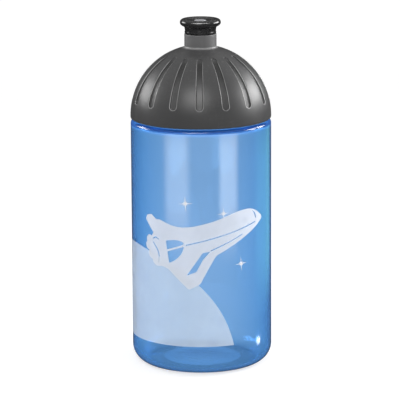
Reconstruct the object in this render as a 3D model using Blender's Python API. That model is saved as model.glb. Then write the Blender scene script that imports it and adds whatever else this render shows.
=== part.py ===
"""A child's half-litre drinking bottle: a clear bottle with a threaded neck, a grooved dome
screw cap, and a push-pull mouthpiece that slides on a fixed closing pin.

Metres, +Z up. The bottle stands on z = 0 and everything is turned about the Z axis.
"""

import math

import bmesh
import bpy

MM = 0.001
GAP = 0.3 * MM
ROUND_SEGMENTS = 48
SMALL_SEGMENTS = 32
SHARP_ANGLE = math.radians(35)

# Bottle
BODY_RADIUS = 36.75 * MM
BODY_WALL = 1.7 * MM
HEEL_RADIUS = 9.5 * MM
FOOT_INNER_RADIUS = 20.5 * MM
PUSH_UP_STEP = 0.7 * MM
PUSH_UP_HEIGHT = 2.6 * MM
PUSH_UP_BREAK_RADIUS = 11.3 * MM
PUSH_UP_BREAK_HEIGHT = 2.0 * MM
FLOOR_THICKNESS = 2.0 * MM
SHOULDER_Z = 129.7 * MM
SHOULDER_ROUND = 1.5 * MM
SHOULDER_INNER_ROUND = 1.3 * MM
NECK_RADIUS = 31.0 * MM
NECK_WALL = 1.5 * MM
NECK_TOP_Z = 144.5 * MM
NECK_FILLET = 0.8 * MM
NECK_INNER_FILLET = 1.0 * MM
NECK_RIM_ROUND = 0.5 * MM
NECK_RIM_CHAMFER = 0.4 * MM

# Thread between the neck and the cap
THREAD_PITCH = 6.0 * MM
THREAD_HEIGHT = 1.9 * MM
THREAD_ROOT_WIDTH = 2.4 * MM
THREAD_CREST_WIDTH = 1.2 * MM
THREAD_EMBED = 0.5 * MM
THREAD_FADE_TURNS = 0.08
THREAD_LEAST_SHARE = 0.05
NECK_THREAD_Z = 133.0 * MM
NECK_THREAD_TURNS = 1.5
CAP_THREAD_DROP = 2.2 * MM
CAP_THREAD_START_TURN = 0.25
CAP_THREAD_TURNS = 1.25

# Screw cap
CAP_EDGE_Z = 130.3 * MM
CAP_EDGE_ROUND = 0.9 * MM
CAP_EDGE_FLAT_RADIUS = 34.2 * MM
CAP_BORE_RADIUS = 33.5 * MM
CAP_BORE_TOP_Z = 141.0 * MM
CAP_BORE_STEP = 0.1 * MM
DOME_CENTRE_Z = 131.7 * MM
DOME_RADIUS = BODY_RADIUS
DOME_WALL = 2.0 * MM
SEAL_SEAT_Z = 147.1 * MM
PLUG_GAP = 0.4 * MM
PLUG_OUTER_RADIUS = NECK_RADIUS - NECK_WALL - PLUG_GAP
PLUG_WALL = 1.5 * MM
PLUG_BOTTOM_Z = 139.0 * MM
PLUG_CHAMFER = 0.4 * MM

# Grooves down the dome
GROOVE_COUNT = 16
GROOVE_AZIMUTH = math.radians(-91.2)
GROOVE_LOW_ANGLE = math.radians(12.0)
GROOVE_HIGH_ANGLE = math.radians(61.0)
GROOVE_LOW_WIDTH = 4.4 * MM
GROOVE_HIGH_WIDTH = 3.5 * MM
GROOVE_DEPTH = 0.9 * MM
GROOVE_FADE = 0.6
GROOVE_RUN_OUT = 0.02 * MM
GROOVE_CUTTER_PROUD = 1.0 * MM
GROOVE_FOOT_SHARES = (0.003, 0.012, 0.03, 0.06)
GROOVE_STRAIGHT_SHARE = 0.1
GROOVE_ROWS = 9

# Chimney that guides the mouthpiece
CHIMNEY_RADIUS = 8.4 * MM
CHIMNEY_TOP_Z = 174.5 * MM
CHIMNEY_BOTTOM_Z = 157.7 * MM
CHIMNEY_BORE_RADIUS = 7.0 * MM
CHIMNEY_INSIDE_STEP = 0.2 * MM
CHIMNEY_FILLET = 0.6 * MM
CHIMNEY_FILLET_END = 262
CHIMNEY_CHAMFER = 0.3 * MM
TOP_LIP_RADIUS = 6.35 * MM
TOP_LIP_Z = 172.5 * MM
SNAP_LIP_RADIUS = 6.4 * MM
SNAP_LIP_HEIGHT = 0.5 * MM
INSERT_POCKET_TOP_Z = 162.3 * MM

# Seal ring between the neck's rim and the cap
SEAL_HEIGHT = 2.0 * MM
SEAL_OUTER_RADIUS = 30.9 * MM
SEAL_EDGE = 0.3 * MM

# Insert that carries the closing pin
INSERT_HEIGHT = 3.5 * MM
INSERT_WALL = 1.4 * MM
SPOKE_COUNT = 3
SPOKE_WIDTH = 1.6 * MM
SPOKE_HEIGHT = 2.0 * MM
PIN_STEM_RADIUS = 2.0 * MM
PIN_HEAD_RADIUS = 3.1 * MM
PIN_HEAD_Z = 178.6 * MM
PIN_TOP_Z = 181.5 * MM
PIN_EDGE = 0.3 * MM

# Mouthpiece
MOUTH_TRAVEL = 5.5 * MM
COLLAR_RADIUS = 8.25 * MM
COLLAR_TOP_Z = 177.7 * MM
COLLAR_FILLET = 0.8 * MM
COLLAR_FILLET_START = 115
FLANGE_RADIUS = 10.65 * MM
FLANGE_ROUND = 1.8 * MM
FLANGE_CENTRE_Z = 180.4 * MM
FLANGE_UNDER_END = -62
DISH_FLOOR_RADIUS = 5.2 * MM
DISH_FLOOR_RISE = 0.05 * MM
DISH_EDGE_RADIUS = 7.4 * MM
DISH_EDGE_DROP = 0.4 * MM
MOUTH_HOLE_RADIUS = 3.4 * MM
MOUTH_HOLE_BOTTOM_Z = 179.0 * MM
MOUTH_DISH_Z = 181.3 * MM
MOUTH_BORE_RADIUS = 4.4 * MM
MOUTH_BORE_TOP_Z = 177.5 * MM
MOUTH_TUBE_RADIUS = 6.0 * MM
MOUTH_BEAD_RADIUS = 6.65 * MM
MOUTH_BEAD_HEIGHT = 0.8 * MM
MOUTH_BEAD_RAMP = 0.2 * MM
RING_GROOVE_RADIUS = 5.2 * MM
RING_GROOVE_HEIGHT = 2.0 * MM
O_RING_RADIUS = 0.6 * MM

# Colours (linear RGB) and roughness
CLEAR_BLUE = (0.10, 0.33, 0.66)
CAP_GREY = (0.075, 0.078, 0.085)
PIN_GREY = (0.34, 0.35, 0.37)
MOUTH_BLACK = (0.012, 0.012, 0.014)
SEAL_WHITE = (0.75, 0.76, 0.76)


def clear_scene():
    for obj in list(bpy.data.objects):
        bpy.data.objects.remove(obj, do_unlink=True)


def make_material(name, colour, roughness, transmission=0.0):
    material = bpy.data.materials.new(name)
    material.use_nodes = True
    shader = material.node_tree.nodes["Principled BSDF"]
    shader.inputs["Base Color"].default_value = (*colour, 1.0)
    shader.inputs["Roughness"].default_value = roughness
    shader.inputs["Metallic"].default_value = 0.0
    shader.inputs["Transmission Weight"].default_value = transmission
    return material


def arc(centre_r, centre_z, radius, start_deg, end_deg, steps):
    """Points (r, z) along an arc, both ends included; 0 degrees points away from the axis."""
    points = []
    for i in range(steps + 1):
        angle = math.radians(start_deg + (end_deg - start_deg) * i / steps)
        points.append((centre_r + radius * math.cos(angle), centre_z + radius * math.sin(angle)))
    return points


def link(name, mesh, material, base_z=0.0, parent=None):
    """Adds the mesh as an object whose origin is on the Z axis at base_z."""
    mesh.shade_smooth()
    mesh.set_sharp_from_angle(angle=SHARP_ANGLE)
    mesh.materials.append(material)
    obj = bpy.data.objects.new(name, mesh)
    bpy.context.scene.collection.objects.link(obj)
    obj.parent = parent
    obj.location.z = base_z - (parent.matrix_world.translation.z if parent else 0.0)
    bpy.context.view_layer.update()
    return obj


def turned_mesh(name, outline, base_z, segments, closed):
    """Spins an outline of (r, z) points round the Z axis; an open outline ends on the axis."""
    bm = bmesh.new()
    verts = [bm.verts.new((r, 0.0, z - base_z)) for r, z in outline]
    edges = [bm.edges.new(pair) for pair in zip(verts, verts[1:])]
    if closed:
        edges.append(bm.edges.new((verts[-1], verts[0])))
    bmesh.ops.spin(
        bm,
        geom=verts + edges,
        cent=(0.0, 0.0, 0.0),
        axis=(0.0, 0.0, 1.0),
        angle=math.tau,
        steps=segments,
        use_merge=True,
    )
    bmesh.ops.remove_doubles(bm, verts=bm.verts, dist=0.001 * MM)
    bmesh.ops.recalc_face_normals(bm, faces=bm.faces)
    mesh = bpy.data.meshes.new(name)
    bm.to_mesh(mesh)
    bm.free()
    return mesh


def helper(name, mesh, base_z=0.0):
    """A hidden shape that a Boolean adds or cuts."""
    obj = bpy.data.objects.new(name, mesh)
    bpy.context.scene.collection.objects.link(obj)
    obj.location.z = base_z
    obj.hide_render = True
    obj.display_type = "WIRE"
    return obj


def combine(obj, other, operation):
    modifier = obj.modifiers.new(other.name, "BOOLEAN")
    modifier.operation = operation
    modifier.object = other
    modifier.solver = "EXACT"


def bridge_rings(bm, rings):
    """Joins rings of vertices into one closed tube with end caps."""
    for near, far in zip(rings, rings[1:]):
        for i in range(len(near)):
            j = (i + 1) % len(near)
            bm.faces.new((near[i], near[j], far[j], far[i]))
    bm.faces.new(rings[0])
    bm.faces.new(rings[-1])


def thread_helper(name, root_radius, height, low_z, start_turn, turns):
    """A right-hand thread ridge; a negative height makes it stand inwards from a bore."""
    bm = bmesh.new()
    embedded = root_radius - math.copysign(THREAD_EMBED, height)
    steps = round(turns * ROUND_SEGMENTS)
    rings = []
    for i in range(steps + 1):
        turn = start_turn + turns * i / steps
        run_out = min(i, steps - i) / (THREAD_FADE_TURNS * ROUND_SEGMENTS)
        fade = min(1.0, max(THREAD_LEAST_SHARE, run_out))
        crest = root_radius + height * fade
        angle = math.tau * turn
        z = low_z + THREAD_PITCH * turn
        section = (
            (embedded, -THREAD_ROOT_WIDTH / 2),
            (crest, -THREAD_CREST_WIDTH / 2),
            (crest, THREAD_CREST_WIDTH / 2),
            (embedded, THREAD_ROOT_WIDTH / 2),
        )
        ring = [bm.verts.new((r * math.cos(angle), r * math.sin(angle), z + dz)) for r, dz in section]
        rings.append(ring)
    bridge_rings(bm, rings)
    bmesh.ops.recalc_face_normals(bm, faces=bm.faces)
    mesh = bpy.data.meshes.new(name)
    bm.to_mesh(mesh)
    bm.free()
    return helper(name, mesh)


def bottle_outline():
    """The bottle's wall, from the middle of the underside round to the middle of the floor inside."""
    heel_centre = BODY_RADIUS - HEEL_RADIUS
    inner_radius = BODY_RADIUS - BODY_WALL
    neck_bore = NECK_RADIUS - NECK_WALL
    under_shoulder = SHOULDER_Z - BODY_WALL
    outline = [
        (0.0, PUSH_UP_HEIGHT),
        (PUSH_UP_BREAK_RADIUS, PUSH_UP_BREAK_HEIGHT),
        (FOOT_INNER_RADIUS - PUSH_UP_STEP, PUSH_UP_STEP),
        (FOOT_INNER_RADIUS, 0.0),
    ]
    outline += arc(heel_centre, HEEL_RADIUS, HEEL_RADIUS, -90, 0, 6)
    outline += arc(BODY_RADIUS - SHOULDER_ROUND, SHOULDER_Z - SHOULDER_ROUND, SHOULDER_ROUND, 0, 90, 3)
    outline += arc(NECK_RADIUS + NECK_FILLET, SHOULDER_Z + NECK_FILLET, NECK_FILLET, 270, 180, 2)
    outline += arc(NECK_RADIUS - NECK_RIM_ROUND, NECK_TOP_Z - NECK_RIM_ROUND, NECK_RIM_ROUND, 0, 90, 2)
    outline += [
        (neck_bore + NECK_RIM_CHAMFER, NECK_TOP_Z),
        (neck_bore, NECK_TOP_Z - NECK_RIM_CHAMFER),
    ]
    outline += arc(
        neck_bore + NECK_INNER_FILLET, under_shoulder + NECK_INNER_FILLET, NECK_INNER_FILLET, 180, 270, 2
    )
    outline += arc(
        inner_radius - SHOULDER_INNER_ROUND,
        under_shoulder - SHOULDER_INNER_ROUND,
        SHOULDER_INNER_ROUND,
        90,
        0,
        2,
    )
    outline += arc(heel_centre, HEEL_RADIUS, HEEL_RADIUS - BODY_WALL, 0, -90, 5)
    outline += [
        (FOOT_INNER_RADIUS, FLOOR_THICKNESS),
        (PUSH_UP_BREAK_RADIUS, PUSH_UP_BREAK_HEIGHT + FLOOR_THICKNESS),
        (0.0, PUSH_UP_HEIGHT + FLOOR_THICKNESS),
    ]
    return outline


def make_bottle():
    material = make_material("bottle_body", CLEAR_BLUE, 0.12, transmission=0.8)
    mesh = turned_mesh("bottle_body", bottle_outline(), 0.0, ROUND_SEGMENTS, closed=False)
    bottle = link("bottle_body", mesh, material)
    thread = thread_helper(
        "neck_thread", NECK_RADIUS, THREAD_HEIGHT, NECK_THREAD_Z, 0.0, NECK_THREAD_TURNS
    )
    combine(bottle, thread, "UNION")


def dome_angle(radius, sphere_radius):
    """The elevation, in degrees, at which a sphere about the dome's centre is this far from the axis."""
    return math.degrees(math.acos(radius / sphere_radius))


def dome_height_angle(z, sphere_radius):
    return math.degrees(math.asin((z - DOME_CENTRE_Z) / sphere_radius))


def cap_outline():
    """The cap's wall as a closed loop, from the chimney's rim down the outside and back up the inside."""
    inner_dome = DOME_RADIUS - DOME_WALL
    plug_inner = PLUG_OUTER_RADIUS - PLUG_WALL
    chimney_foot = CHIMNEY_RADIUS + CHIMNEY_FILLET
    foot_angle = dome_angle(chimney_foot, DOME_RADIUS)
    foot_z = DOME_CENTRE_Z + DOME_RADIUS * math.sin(math.radians(foot_angle))
    chimney_inside = CHIMNEY_RADIUS + CHIMNEY_INSIDE_STEP
    outline = [
        (CHIMNEY_RADIUS - CHIMNEY_CHAMFER, CHIMNEY_TOP_Z),
        (CHIMNEY_RADIUS, CHIMNEY_TOP_Z - CHIMNEY_CHAMFER),
    ]
    fillet = arc(chimney_foot, foot_z + CHIMNEY_FILLET, CHIMNEY_FILLET, 180, CHIMNEY_FILLET_END, 3)
    outline += fillet[:-1]
    outline += arc(0.0, DOME_CENTRE_Z, DOME_RADIUS, foot_angle, 0, 13)
    outline += arc(
        BODY_RADIUS - CAP_EDGE_ROUND, CAP_EDGE_Z + CAP_EDGE_ROUND, CAP_EDGE_ROUND, 0, -90, 3
    )
    outline += [
        (CAP_EDGE_FLAT_RADIUS, CAP_EDGE_Z),
        (CAP_BORE_RADIUS, CAP_EDGE_Z + CAP_EDGE_FLAT_RADIUS - CAP_BORE_RADIUS),
        (CAP_BORE_RADIUS, CAP_BORE_TOP_Z),
    ]
    outline += arc(
        0.0,
        DOME_CENTRE_Z,
        inner_dome,
        dome_height_angle(CAP_BORE_TOP_Z + CAP_BORE_STEP, inner_dome),
        dome_height_angle(SEAL_SEAT_Z, inner_dome),
        2,
    )
    outline += [
        (PLUG_OUTER_RADIUS, SEAL_SEAT_Z),
        (PLUG_OUTER_RADIUS, PLUG_BOTTOM_Z + PLUG_CHAMFER),
        (PLUG_OUTER_RADIUS - PLUG_CHAMFER, PLUG_BOTTOM_Z),
        (plug_inner + PLUG_CHAMFER, PLUG_BOTTOM_Z),
        (plug_inner, PLUG_BOTTOM_Z + PLUG_CHAMFER),
    ]
    outline += arc(
        0.0,
        DOME_CENTRE_Z,
        inner_dome,
        dome_angle(plug_inner, inner_dome),
        dome_angle(chimney_inside, inner_dome),
        6,
    )
    pocket_floor = CHIMNEY_BOTTOM_Z + SNAP_LIP_HEIGHT
    outline += [
        (chimney_inside, CHIMNEY_BOTTOM_Z),
        (SNAP_LIP_RADIUS, CHIMNEY_BOTTOM_Z),
        (SNAP_LIP_RADIUS, pocket_floor),
        (CHIMNEY_BORE_RADIUS, pocket_floor),
        (CHIMNEY_BORE_RADIUS, INSERT_POCKET_TOP_Z),
        (SNAP_LIP_RADIUS, INSERT_POCKET_TOP_Z),
        (SNAP_LIP_RADIUS, INSERT_POCKET_TOP_Z + SNAP_LIP_HEIGHT),
        (CHIMNEY_BORE_RADIUS, INSERT_POCKET_TOP_Z + SNAP_LIP_HEIGHT),
        (CHIMNEY_BORE_RADIUS, TOP_LIP_Z),
        (TOP_LIP_RADIUS, TOP_LIP_Z),
        (TOP_LIP_RADIUS, CHIMNEY_TOP_Z),
    ]
    return outline


def groove_ring(bm, azimuth, t):
    """Four corners of one groove cutter's section, at a share t of its way from its round foot up."""
    sweep = GROOVE_HIGH_ANGLE - GROOVE_LOW_ANGLE
    elevation = GROOVE_LOW_ANGLE + sweep * t
    from_foot = sweep * t * DOME_RADIUS
    half_width = (GROOVE_LOW_WIDTH + (GROOVE_HIGH_WIDTH - GROOVE_LOW_WIDTH) * t) / 2
    if from_foot < half_width:
        half_width = math.sqrt(half_width**2 - (half_width - from_foot) ** 2)
    floor = DOME_RADIUS - GROOVE_DEPTH * (1 - t) ** GROOVE_FADE + GROOVE_RUN_OUT * t
    proud = DOME_RADIUS + GROOVE_CUTTER_PROUD
    ring = []
    for radius, side in ((floor, -1), (floor, 1), (proud, 1), (proud, -1)):
        across = side * half_width
        out = radius * math.cos(elevation)
        x = out * math.cos(azimuth) - across * math.sin(azimuth)
        y = out * math.sin(azimuth) + across * math.cos(azimuth)
        ring.append(bm.verts.new((x, y, DOME_CENTRE_Z + radius * math.sin(elevation))))
    return ring


def groove_helper():
    """All the groove cutters, as separate closed bodies in one mesh."""
    bm = bmesh.new()
    shares = list(GROOVE_FOOT_SHARES)
    for i in range(GROOVE_ROWS + 1):
        shares.append(GROOVE_STRAIGHT_SHARE + (1 - GROOVE_STRAIGHT_SHARE) * i / GROOVE_ROWS)
    for i in range(GROOVE_COUNT):
        azimuth = GROOVE_AZIMUTH + math.tau * i / GROOVE_COUNT
        bridge_rings(bm, [groove_ring(bm, azimuth, t) for t in shares])
    bmesh.ops.recalc_face_normals(bm, faces=bm.faces)
    mesh = bpy.data.meshes.new("dome_grooves")
    bm.to_mesh(mesh)
    bm.free()
    return helper("dome_grooves", mesh)


def make_cap(cap_axis):
    material = make_material("screw_cap", CAP_GREY, 0.42)
    mesh = turned_mesh("screw_cap", cap_outline(), CAP_EDGE_Z, ROUND_SEGMENTS, closed=True)
    cap = link("screw_cap", mesh, material, CAP_EDGE_Z, cap_axis)
    combine(cap, groove_helper(), "DIFFERENCE")
    thread = thread_helper(
        "cap_thread",
        CAP_BORE_RADIUS,
        -THREAD_HEIGHT,
        NECK_THREAD_Z - CAP_THREAD_DROP,
        CAP_THREAD_START_TURN,
        CAP_THREAD_TURNS,
    )
    combine(cap, thread, "UNION")


def make_seal(cap_axis):
    material = make_material("cap_seal", SEAL_WHITE, 0.5)
    low = NECK_TOP_Z + GAP
    high = low + SEAL_HEIGHT
    inner = PLUG_OUTER_RADIUS + GAP
    outline = [
        (inner, low),
        (SEAL_OUTER_RADIUS - SEAL_EDGE, low),
        (SEAL_OUTER_RADIUS, low + SEAL_EDGE),
        (SEAL_OUTER_RADIUS, high - SEAL_EDGE),
        (SEAL_OUTER_RADIUS - SEAL_EDGE, high),
        (inner, high),
    ]
    mesh = turned_mesh("cap_seal", outline, low, ROUND_SEGMENTS, closed=True)
    link("cap_seal", mesh, material, low, cap_axis)


def make_insert(cap_axis):
    """The snap-in ring, its spokes and the pin that closes the mouthpiece."""
    material = make_material("spout_insert", PIN_GREY, 0.35)
    base_z = CHIMNEY_BOTTOM_Z + SNAP_LIP_HEIGHT + GAP
    ring_outer = CHIMNEY_BORE_RADIUS - GAP
    ring_inner = ring_outer - INSERT_WALL
    cone_z = PIN_HEAD_Z - (PIN_HEAD_RADIUS - PIN_STEM_RADIUS)
    pin_outline = [
        (0.0, base_z),
        (PIN_STEM_RADIUS, base_z),
        (PIN_STEM_RADIUS, cone_z),
        (PIN_HEAD_RADIUS, PIN_HEAD_Z),
        (PIN_HEAD_RADIUS, PIN_TOP_Z - PIN_EDGE),
        (PIN_HEAD_RADIUS - PIN_EDGE, PIN_TOP_Z),
        (0.0, PIN_TOP_Z),
    ]
    ring_outline = [
        (ring_inner, base_z),
        (ring_outer - PIN_EDGE, base_z),
        (ring_outer, base_z + PIN_EDGE),
        (ring_outer, base_z + INSERT_HEIGHT),
        (ring_inner, base_z + INSERT_HEIGHT),
    ]
    pin_mesh = turned_mesh("spout_insert", pin_outline, base_z, SMALL_SEGMENTS, closed=False)
    insert = link("spout_insert", pin_mesh, material, base_z, cap_axis)
    for i in range(SPOKE_COUNT):
        combine(insert, spoke_helper(i, base_z, ring_inner), "UNION")
    ring_mesh = turned_mesh("insert_ring", ring_outline, base_z, SMALL_SEGMENTS, closed=True)
    combine(insert, helper("insert_ring", ring_mesh, base_z), "UNION")


def spoke_helper(index, base_z, ring_inner):
    """One bar from inside the pin's stem to inside the ring's wall."""
    angle = math.tau * (index + 0.5) / SPOKE_COUNT
    start = PIN_STEM_RADIUS / 2
    end = ring_inner + INSERT_WALL / 2
    bm = bmesh.new()
    bmesh.ops.create_cube(bm, size=1.0)
    bmesh.ops.scale(bm, vec=(end - start, SPOKE_WIDTH, SPOKE_HEIGHT), verts=bm.verts)
    middle = ((start + end) / 2, 0.0, SPOKE_HEIGHT / 2 + PIN_EDGE)
    bmesh.ops.translate(bm, vec=middle, verts=bm.verts)
    name = f"insert_spoke_{index + 1}"
    mesh = bpy.data.meshes.new(name)
    bm.to_mesh(mesh)
    bm.free()
    spoke = helper(name, mesh, base_z)
    spoke.rotation_euler.z = angle
    return spoke


def mouthpiece_levels():
    """The heights of the retaining bead's top and of the lower end, for the full travel."""
    bead_top = TOP_LIP_Z - MOUTH_TRAVEL - GAP
    bottom = bead_top - 2 * MOUTH_BEAD_HEIGHT - RING_GROOVE_HEIGHT
    return bead_top, bottom


def make_mouthpiece(mouth_axis):
    material = make_material("mouthpiece", MOUTH_BLACK, 0.25)
    bead_top, bottom = mouthpiece_levels()
    collar_bottom = CHIMNEY_TOP_Z + GAP
    flange_centre = FLANGE_RADIUS - FLANGE_ROUND
    rim_z = FLANGE_CENTRE_Z + FLANGE_ROUND
    outline = [
        (MOUTH_HOLE_RADIUS, MOUTH_DISH_Z),
        (DISH_FLOOR_RADIUS, MOUTH_DISH_Z + DISH_FLOOR_RISE),
        (DISH_EDGE_RADIUS, rim_z - DISH_EDGE_DROP),
    ]
    outline += arc(flange_centre, FLANGE_CENTRE_Z, FLANGE_ROUND, 90, FLANGE_UNDER_END, 7)
    outline += arc(
        COLLAR_RADIUS + COLLAR_FILLET, COLLAR_TOP_Z, COLLAR_FILLET, COLLAR_FILLET_START, 180, 2
    )
    outline += [
        (COLLAR_RADIUS, collar_bottom + CHIMNEY_CHAMFER),
        (COLLAR_RADIUS - CHIMNEY_CHAMFER, collar_bottom),
        (MOUTH_TUBE_RADIUS, collar_bottom),
        (MOUTH_TUBE_RADIUS, bead_top + MOUTH_BEAD_RAMP),
        (MOUTH_BEAD_RADIUS, bead_top),
        (MOUTH_BEAD_RADIUS, bead_top - MOUTH_BEAD_HEIGHT),
        (RING_GROOVE_RADIUS, bead_top - MOUTH_BEAD_HEIGHT),
        (RING_GROOVE_RADIUS, bottom + MOUTH_BEAD_HEIGHT),
        (MOUTH_BEAD_RADIUS, bottom + MOUTH_BEAD_HEIGHT),
        (MOUTH_BEAD_RADIUS, bottom + PIN_EDGE),
        (MOUTH_BEAD_RADIUS - PIN_EDGE, bottom),
        (MOUTH_BORE_RADIUS, bottom),
        (MOUTH_BORE_RADIUS, MOUTH_BORE_TOP_Z),
        (MOUTH_HOLE_RADIUS, MOUTH_HOLE_BOTTOM_Z),
    ]
    mesh = turned_mesh("mouthpiece", outline, collar_bottom, SMALL_SEGMENTS, closed=True)
    link("mouthpiece", mesh, material, collar_bottom, mouth_axis)


def make_o_ring(mouth_axis):
    material = make_material("mouthpiece_o_ring", SEAL_WHITE, 0.5)
    bead_top, bottom = mouthpiece_levels()
    centre_z = (bead_top + bottom) / 2
    centre_r = CHIMNEY_BORE_RADIUS - GAP - O_RING_RADIUS
    outline = arc(centre_r, centre_z, O_RING_RADIUS, 0, 360, 8)[:-1]
    mesh = turned_mesh("mouthpiece_o_ring", outline, centre_z, SMALL_SEGMENTS, closed=True)
    link("mouthpiece_o_ring", mesh, material, centre_z, mouth_axis)


def axis_empty(name, z, parent=None):
    """An empty on the Z axis: what hangs on it turns or slides along that axis."""
    empty = bpy.data.objects.new(name, None)
    bpy.context.scene.collection.objects.link(empty)
    empty.parent = parent
    empty.location.z = z - (parent.matrix_world.translation.z if parent else 0.0)
    bpy.context.view_layer.update()
    return empty


def main():
    clear_scene()
    make_bottle()
    cap_axis = axis_empty("cap_axis", CAP_EDGE_Z)
    make_cap(cap_axis)
    make_seal(cap_axis)
    make_insert(cap_axis)
    mouth_axis = axis_empty("mouthpiece_axis", CHIMNEY_TOP_Z, cap_axis)
    make_mouthpiece(mouth_axis)
    make_o_ring(mouth_axis)


if __name__ == "__main__":
    main()
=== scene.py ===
"""Looks of a child's clear blue drinking bottle with a grooved dome cap and a push-pull mouthpiece.

Lengths are in metres. Z is the bottle's axis and -Y is the printed front.
"""

from __future__ import annotations

import logging
import math
from dataclasses import dataclass, field
from enum import Enum
from typing import Callable

import bmesh
import bpy
from mathutils import Matrix, Vector

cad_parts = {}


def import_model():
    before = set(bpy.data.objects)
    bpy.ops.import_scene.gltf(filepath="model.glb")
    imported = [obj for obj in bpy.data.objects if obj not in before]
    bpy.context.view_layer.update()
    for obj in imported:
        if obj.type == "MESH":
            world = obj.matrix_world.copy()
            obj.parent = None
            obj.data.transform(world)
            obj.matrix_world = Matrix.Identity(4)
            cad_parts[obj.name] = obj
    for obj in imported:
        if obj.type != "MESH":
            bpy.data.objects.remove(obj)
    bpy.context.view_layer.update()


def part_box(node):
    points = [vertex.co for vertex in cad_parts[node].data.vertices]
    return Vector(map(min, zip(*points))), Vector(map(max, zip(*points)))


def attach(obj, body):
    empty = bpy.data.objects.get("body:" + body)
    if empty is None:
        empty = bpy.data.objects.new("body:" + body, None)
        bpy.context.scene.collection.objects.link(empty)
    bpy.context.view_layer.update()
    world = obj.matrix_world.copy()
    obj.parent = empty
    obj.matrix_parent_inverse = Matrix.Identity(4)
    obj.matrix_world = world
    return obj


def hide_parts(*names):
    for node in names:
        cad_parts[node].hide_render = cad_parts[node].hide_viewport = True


LOG = logging.getLogger("bottle")
MM = 0.001
MERGE = 1e-7
SLIVER = 0.01 * MM
DUST_COLOUR = (0.55, 0.54, 0.52, 1.0)
Point = tuple[float, float]
Colour = tuple[float, float, float]
Corner = tuple[float, float, float]


# ---------------------------------------------------------------- modelling helpers


class Cut(Enum):
    """What a Boolean does with its second shape."""

    ADD = "UNION"
    REMOVE = "DIFFERENCE"


class Filling(Enum):
    """Whether an outline is spun as it is or joined into a loop first."""

    OPEN = "open"
    LOOP = "loop"


@dataclass
class Outline:
    """Points (r, z) of a turned shape, from which it is spun round the Z axis."""

    points: list[Point] = field(default_factory=list)

    def to(self, radius: float, height: float) -> Outline:
        """Goes straight to a point and returns the outline."""
        self.points.append((radius, height))
        return self

    def arc(self, centre: Point, radius: float, start: float, end: float, steps: int) -> Outline:
        """Follows an arc.

        Args:
            centre: the arc's centre (r, z).
            radius: its radius.
            start: its first angle in degrees, 0 pointing away from the axis and 90 up.
            end: its last angle in degrees.
            steps: how many straight pieces it has.

        Returns:
            The outline.
        """
        for i in range(steps + 1):
            angle = math.radians(start + (end - start) * i / steps)
            self.points.append(
                (centre[0] + radius * math.cos(angle), centre[1] + radius * math.sin(angle))
            )
        return self


def object_mode() -> None:
    """Leaves edit mode and selects nothing."""
    if bpy.context.mode != "OBJECT":
        bpy.ops.object.mode_set(mode="OBJECT")
    bpy.ops.object.select_all(action="DESELECT")


def pick(*objects: bpy.types.Object) -> None:
    """Selects these objects alone and makes the first one active.

    Args:
        *objects: the objects to select, the first of which becomes active.
    """
    object_mode()
    for obj in objects:
        obj.select_set(True)
    bpy.context.view_layer.objects.active = objects[0]


def edit(obj: bpy.types.Object) -> None:
    """Opens an object in edit mode with all of it selected.

    Args:
        obj: the object to open.
    """
    pick(obj)
    bpy.ops.object.mode_set(mode="EDIT")
    bpy.ops.mesh.select_mode(type="VERT")
    bpy.ops.mesh.select_all(action="SELECT")


def new_primitive(name: str) -> bpy.types.Object:
    """Names the primitive that was just added and returns it.

    Args:
        name: its new name.

    Returns:
        The primitive.
    """
    obj = bpy.context.view_layer.objects.active
    obj.name = name
    obj.data.name = name
    return obj


def select_where(kind: str, test: Callable[[Vector], bool]) -> None:
    """Selects parts of the mesh in edit mode by their place.

    Args:
        kind: "VERT" or "FACE".
        test: says whether a vertex, or a face's middle, belongs to the selection.
    """
    bpy.ops.mesh.select_mode(type=kind)
    bpy.ops.mesh.select_all(action="DESELECT")
    mesh = bmesh.from_edit_mesh(bpy.context.edit_object.data)
    parts = mesh.verts if kind == "VERT" else mesh.faces
    for part in parts:
        place = part.co if kind == "VERT" else part.calc_center_median()
        part.select_set(test(place))
    mesh.select_flush_mode()
    bmesh.update_edit_mesh(bpy.context.edit_object.data)


def move_points(obj: bpy.types.Object, rule: Callable[[Vector], Vector]) -> None:
    """Moves each vertex of a mesh to where the rule puts it.

    Args:
        obj: the object whose mesh is moved.
        rule: gives a vertex's new place from its old one.
    """
    for vertex in obj.data.vertices:
        vertex.co = rule(vertex.co.copy())
    obj.data.update()


def turn(name: str, outline: Outline, steps: int, filling: Filling) -> bpy.types.Object:
    """Draws an outline by extruding a point along it, and spins it round the Z axis.

    Args:
        name: the new object's name.
        outline: the outline, which ends on the axis where it is open.
        steps: how many faces go round.
        filling: whether the outline is joined into a loop.

    Returns:
        The turned object, closed and with its faces outwards.
    """
    object_mode()
    first = outline.points[0]
    bpy.ops.mesh.primitive_plane_add(size=MM, location=(first[0], 0.0, first[1]))
    obj = new_primitive(name)
    bpy.ops.object.transform_apply(location=True)
    edit(obj)
    bpy.ops.mesh.merge(type="CENTER")
    for near, far in zip(outline.points, outline.points[1:]):
        step = (far[0] - near[0], 0.0, far[1] - near[1])
        bpy.ops.mesh.extrude_region_move(TRANSFORM_OT_translate={"value": step})
    if filling is Filling.LOOP:
        last = outline.points[-1]
        ends = (Vector((first[0], 0.0, first[1])), Vector((last[0], 0.0, last[1])))
        select_where("VERT", lambda co: any((co - end).length < 0.01 * MM for end in ends))
        bpy.ops.mesh.edge_face_add()
    bpy.ops.mesh.select_all(action="SELECT")
    bpy.ops.mesh.spin(steps=steps, angle=math.tau, center=(0.0, 0.0, 0.0), axis=(0.0, 0.0, 1.0))
    tidy_mesh()
    return obj


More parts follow.
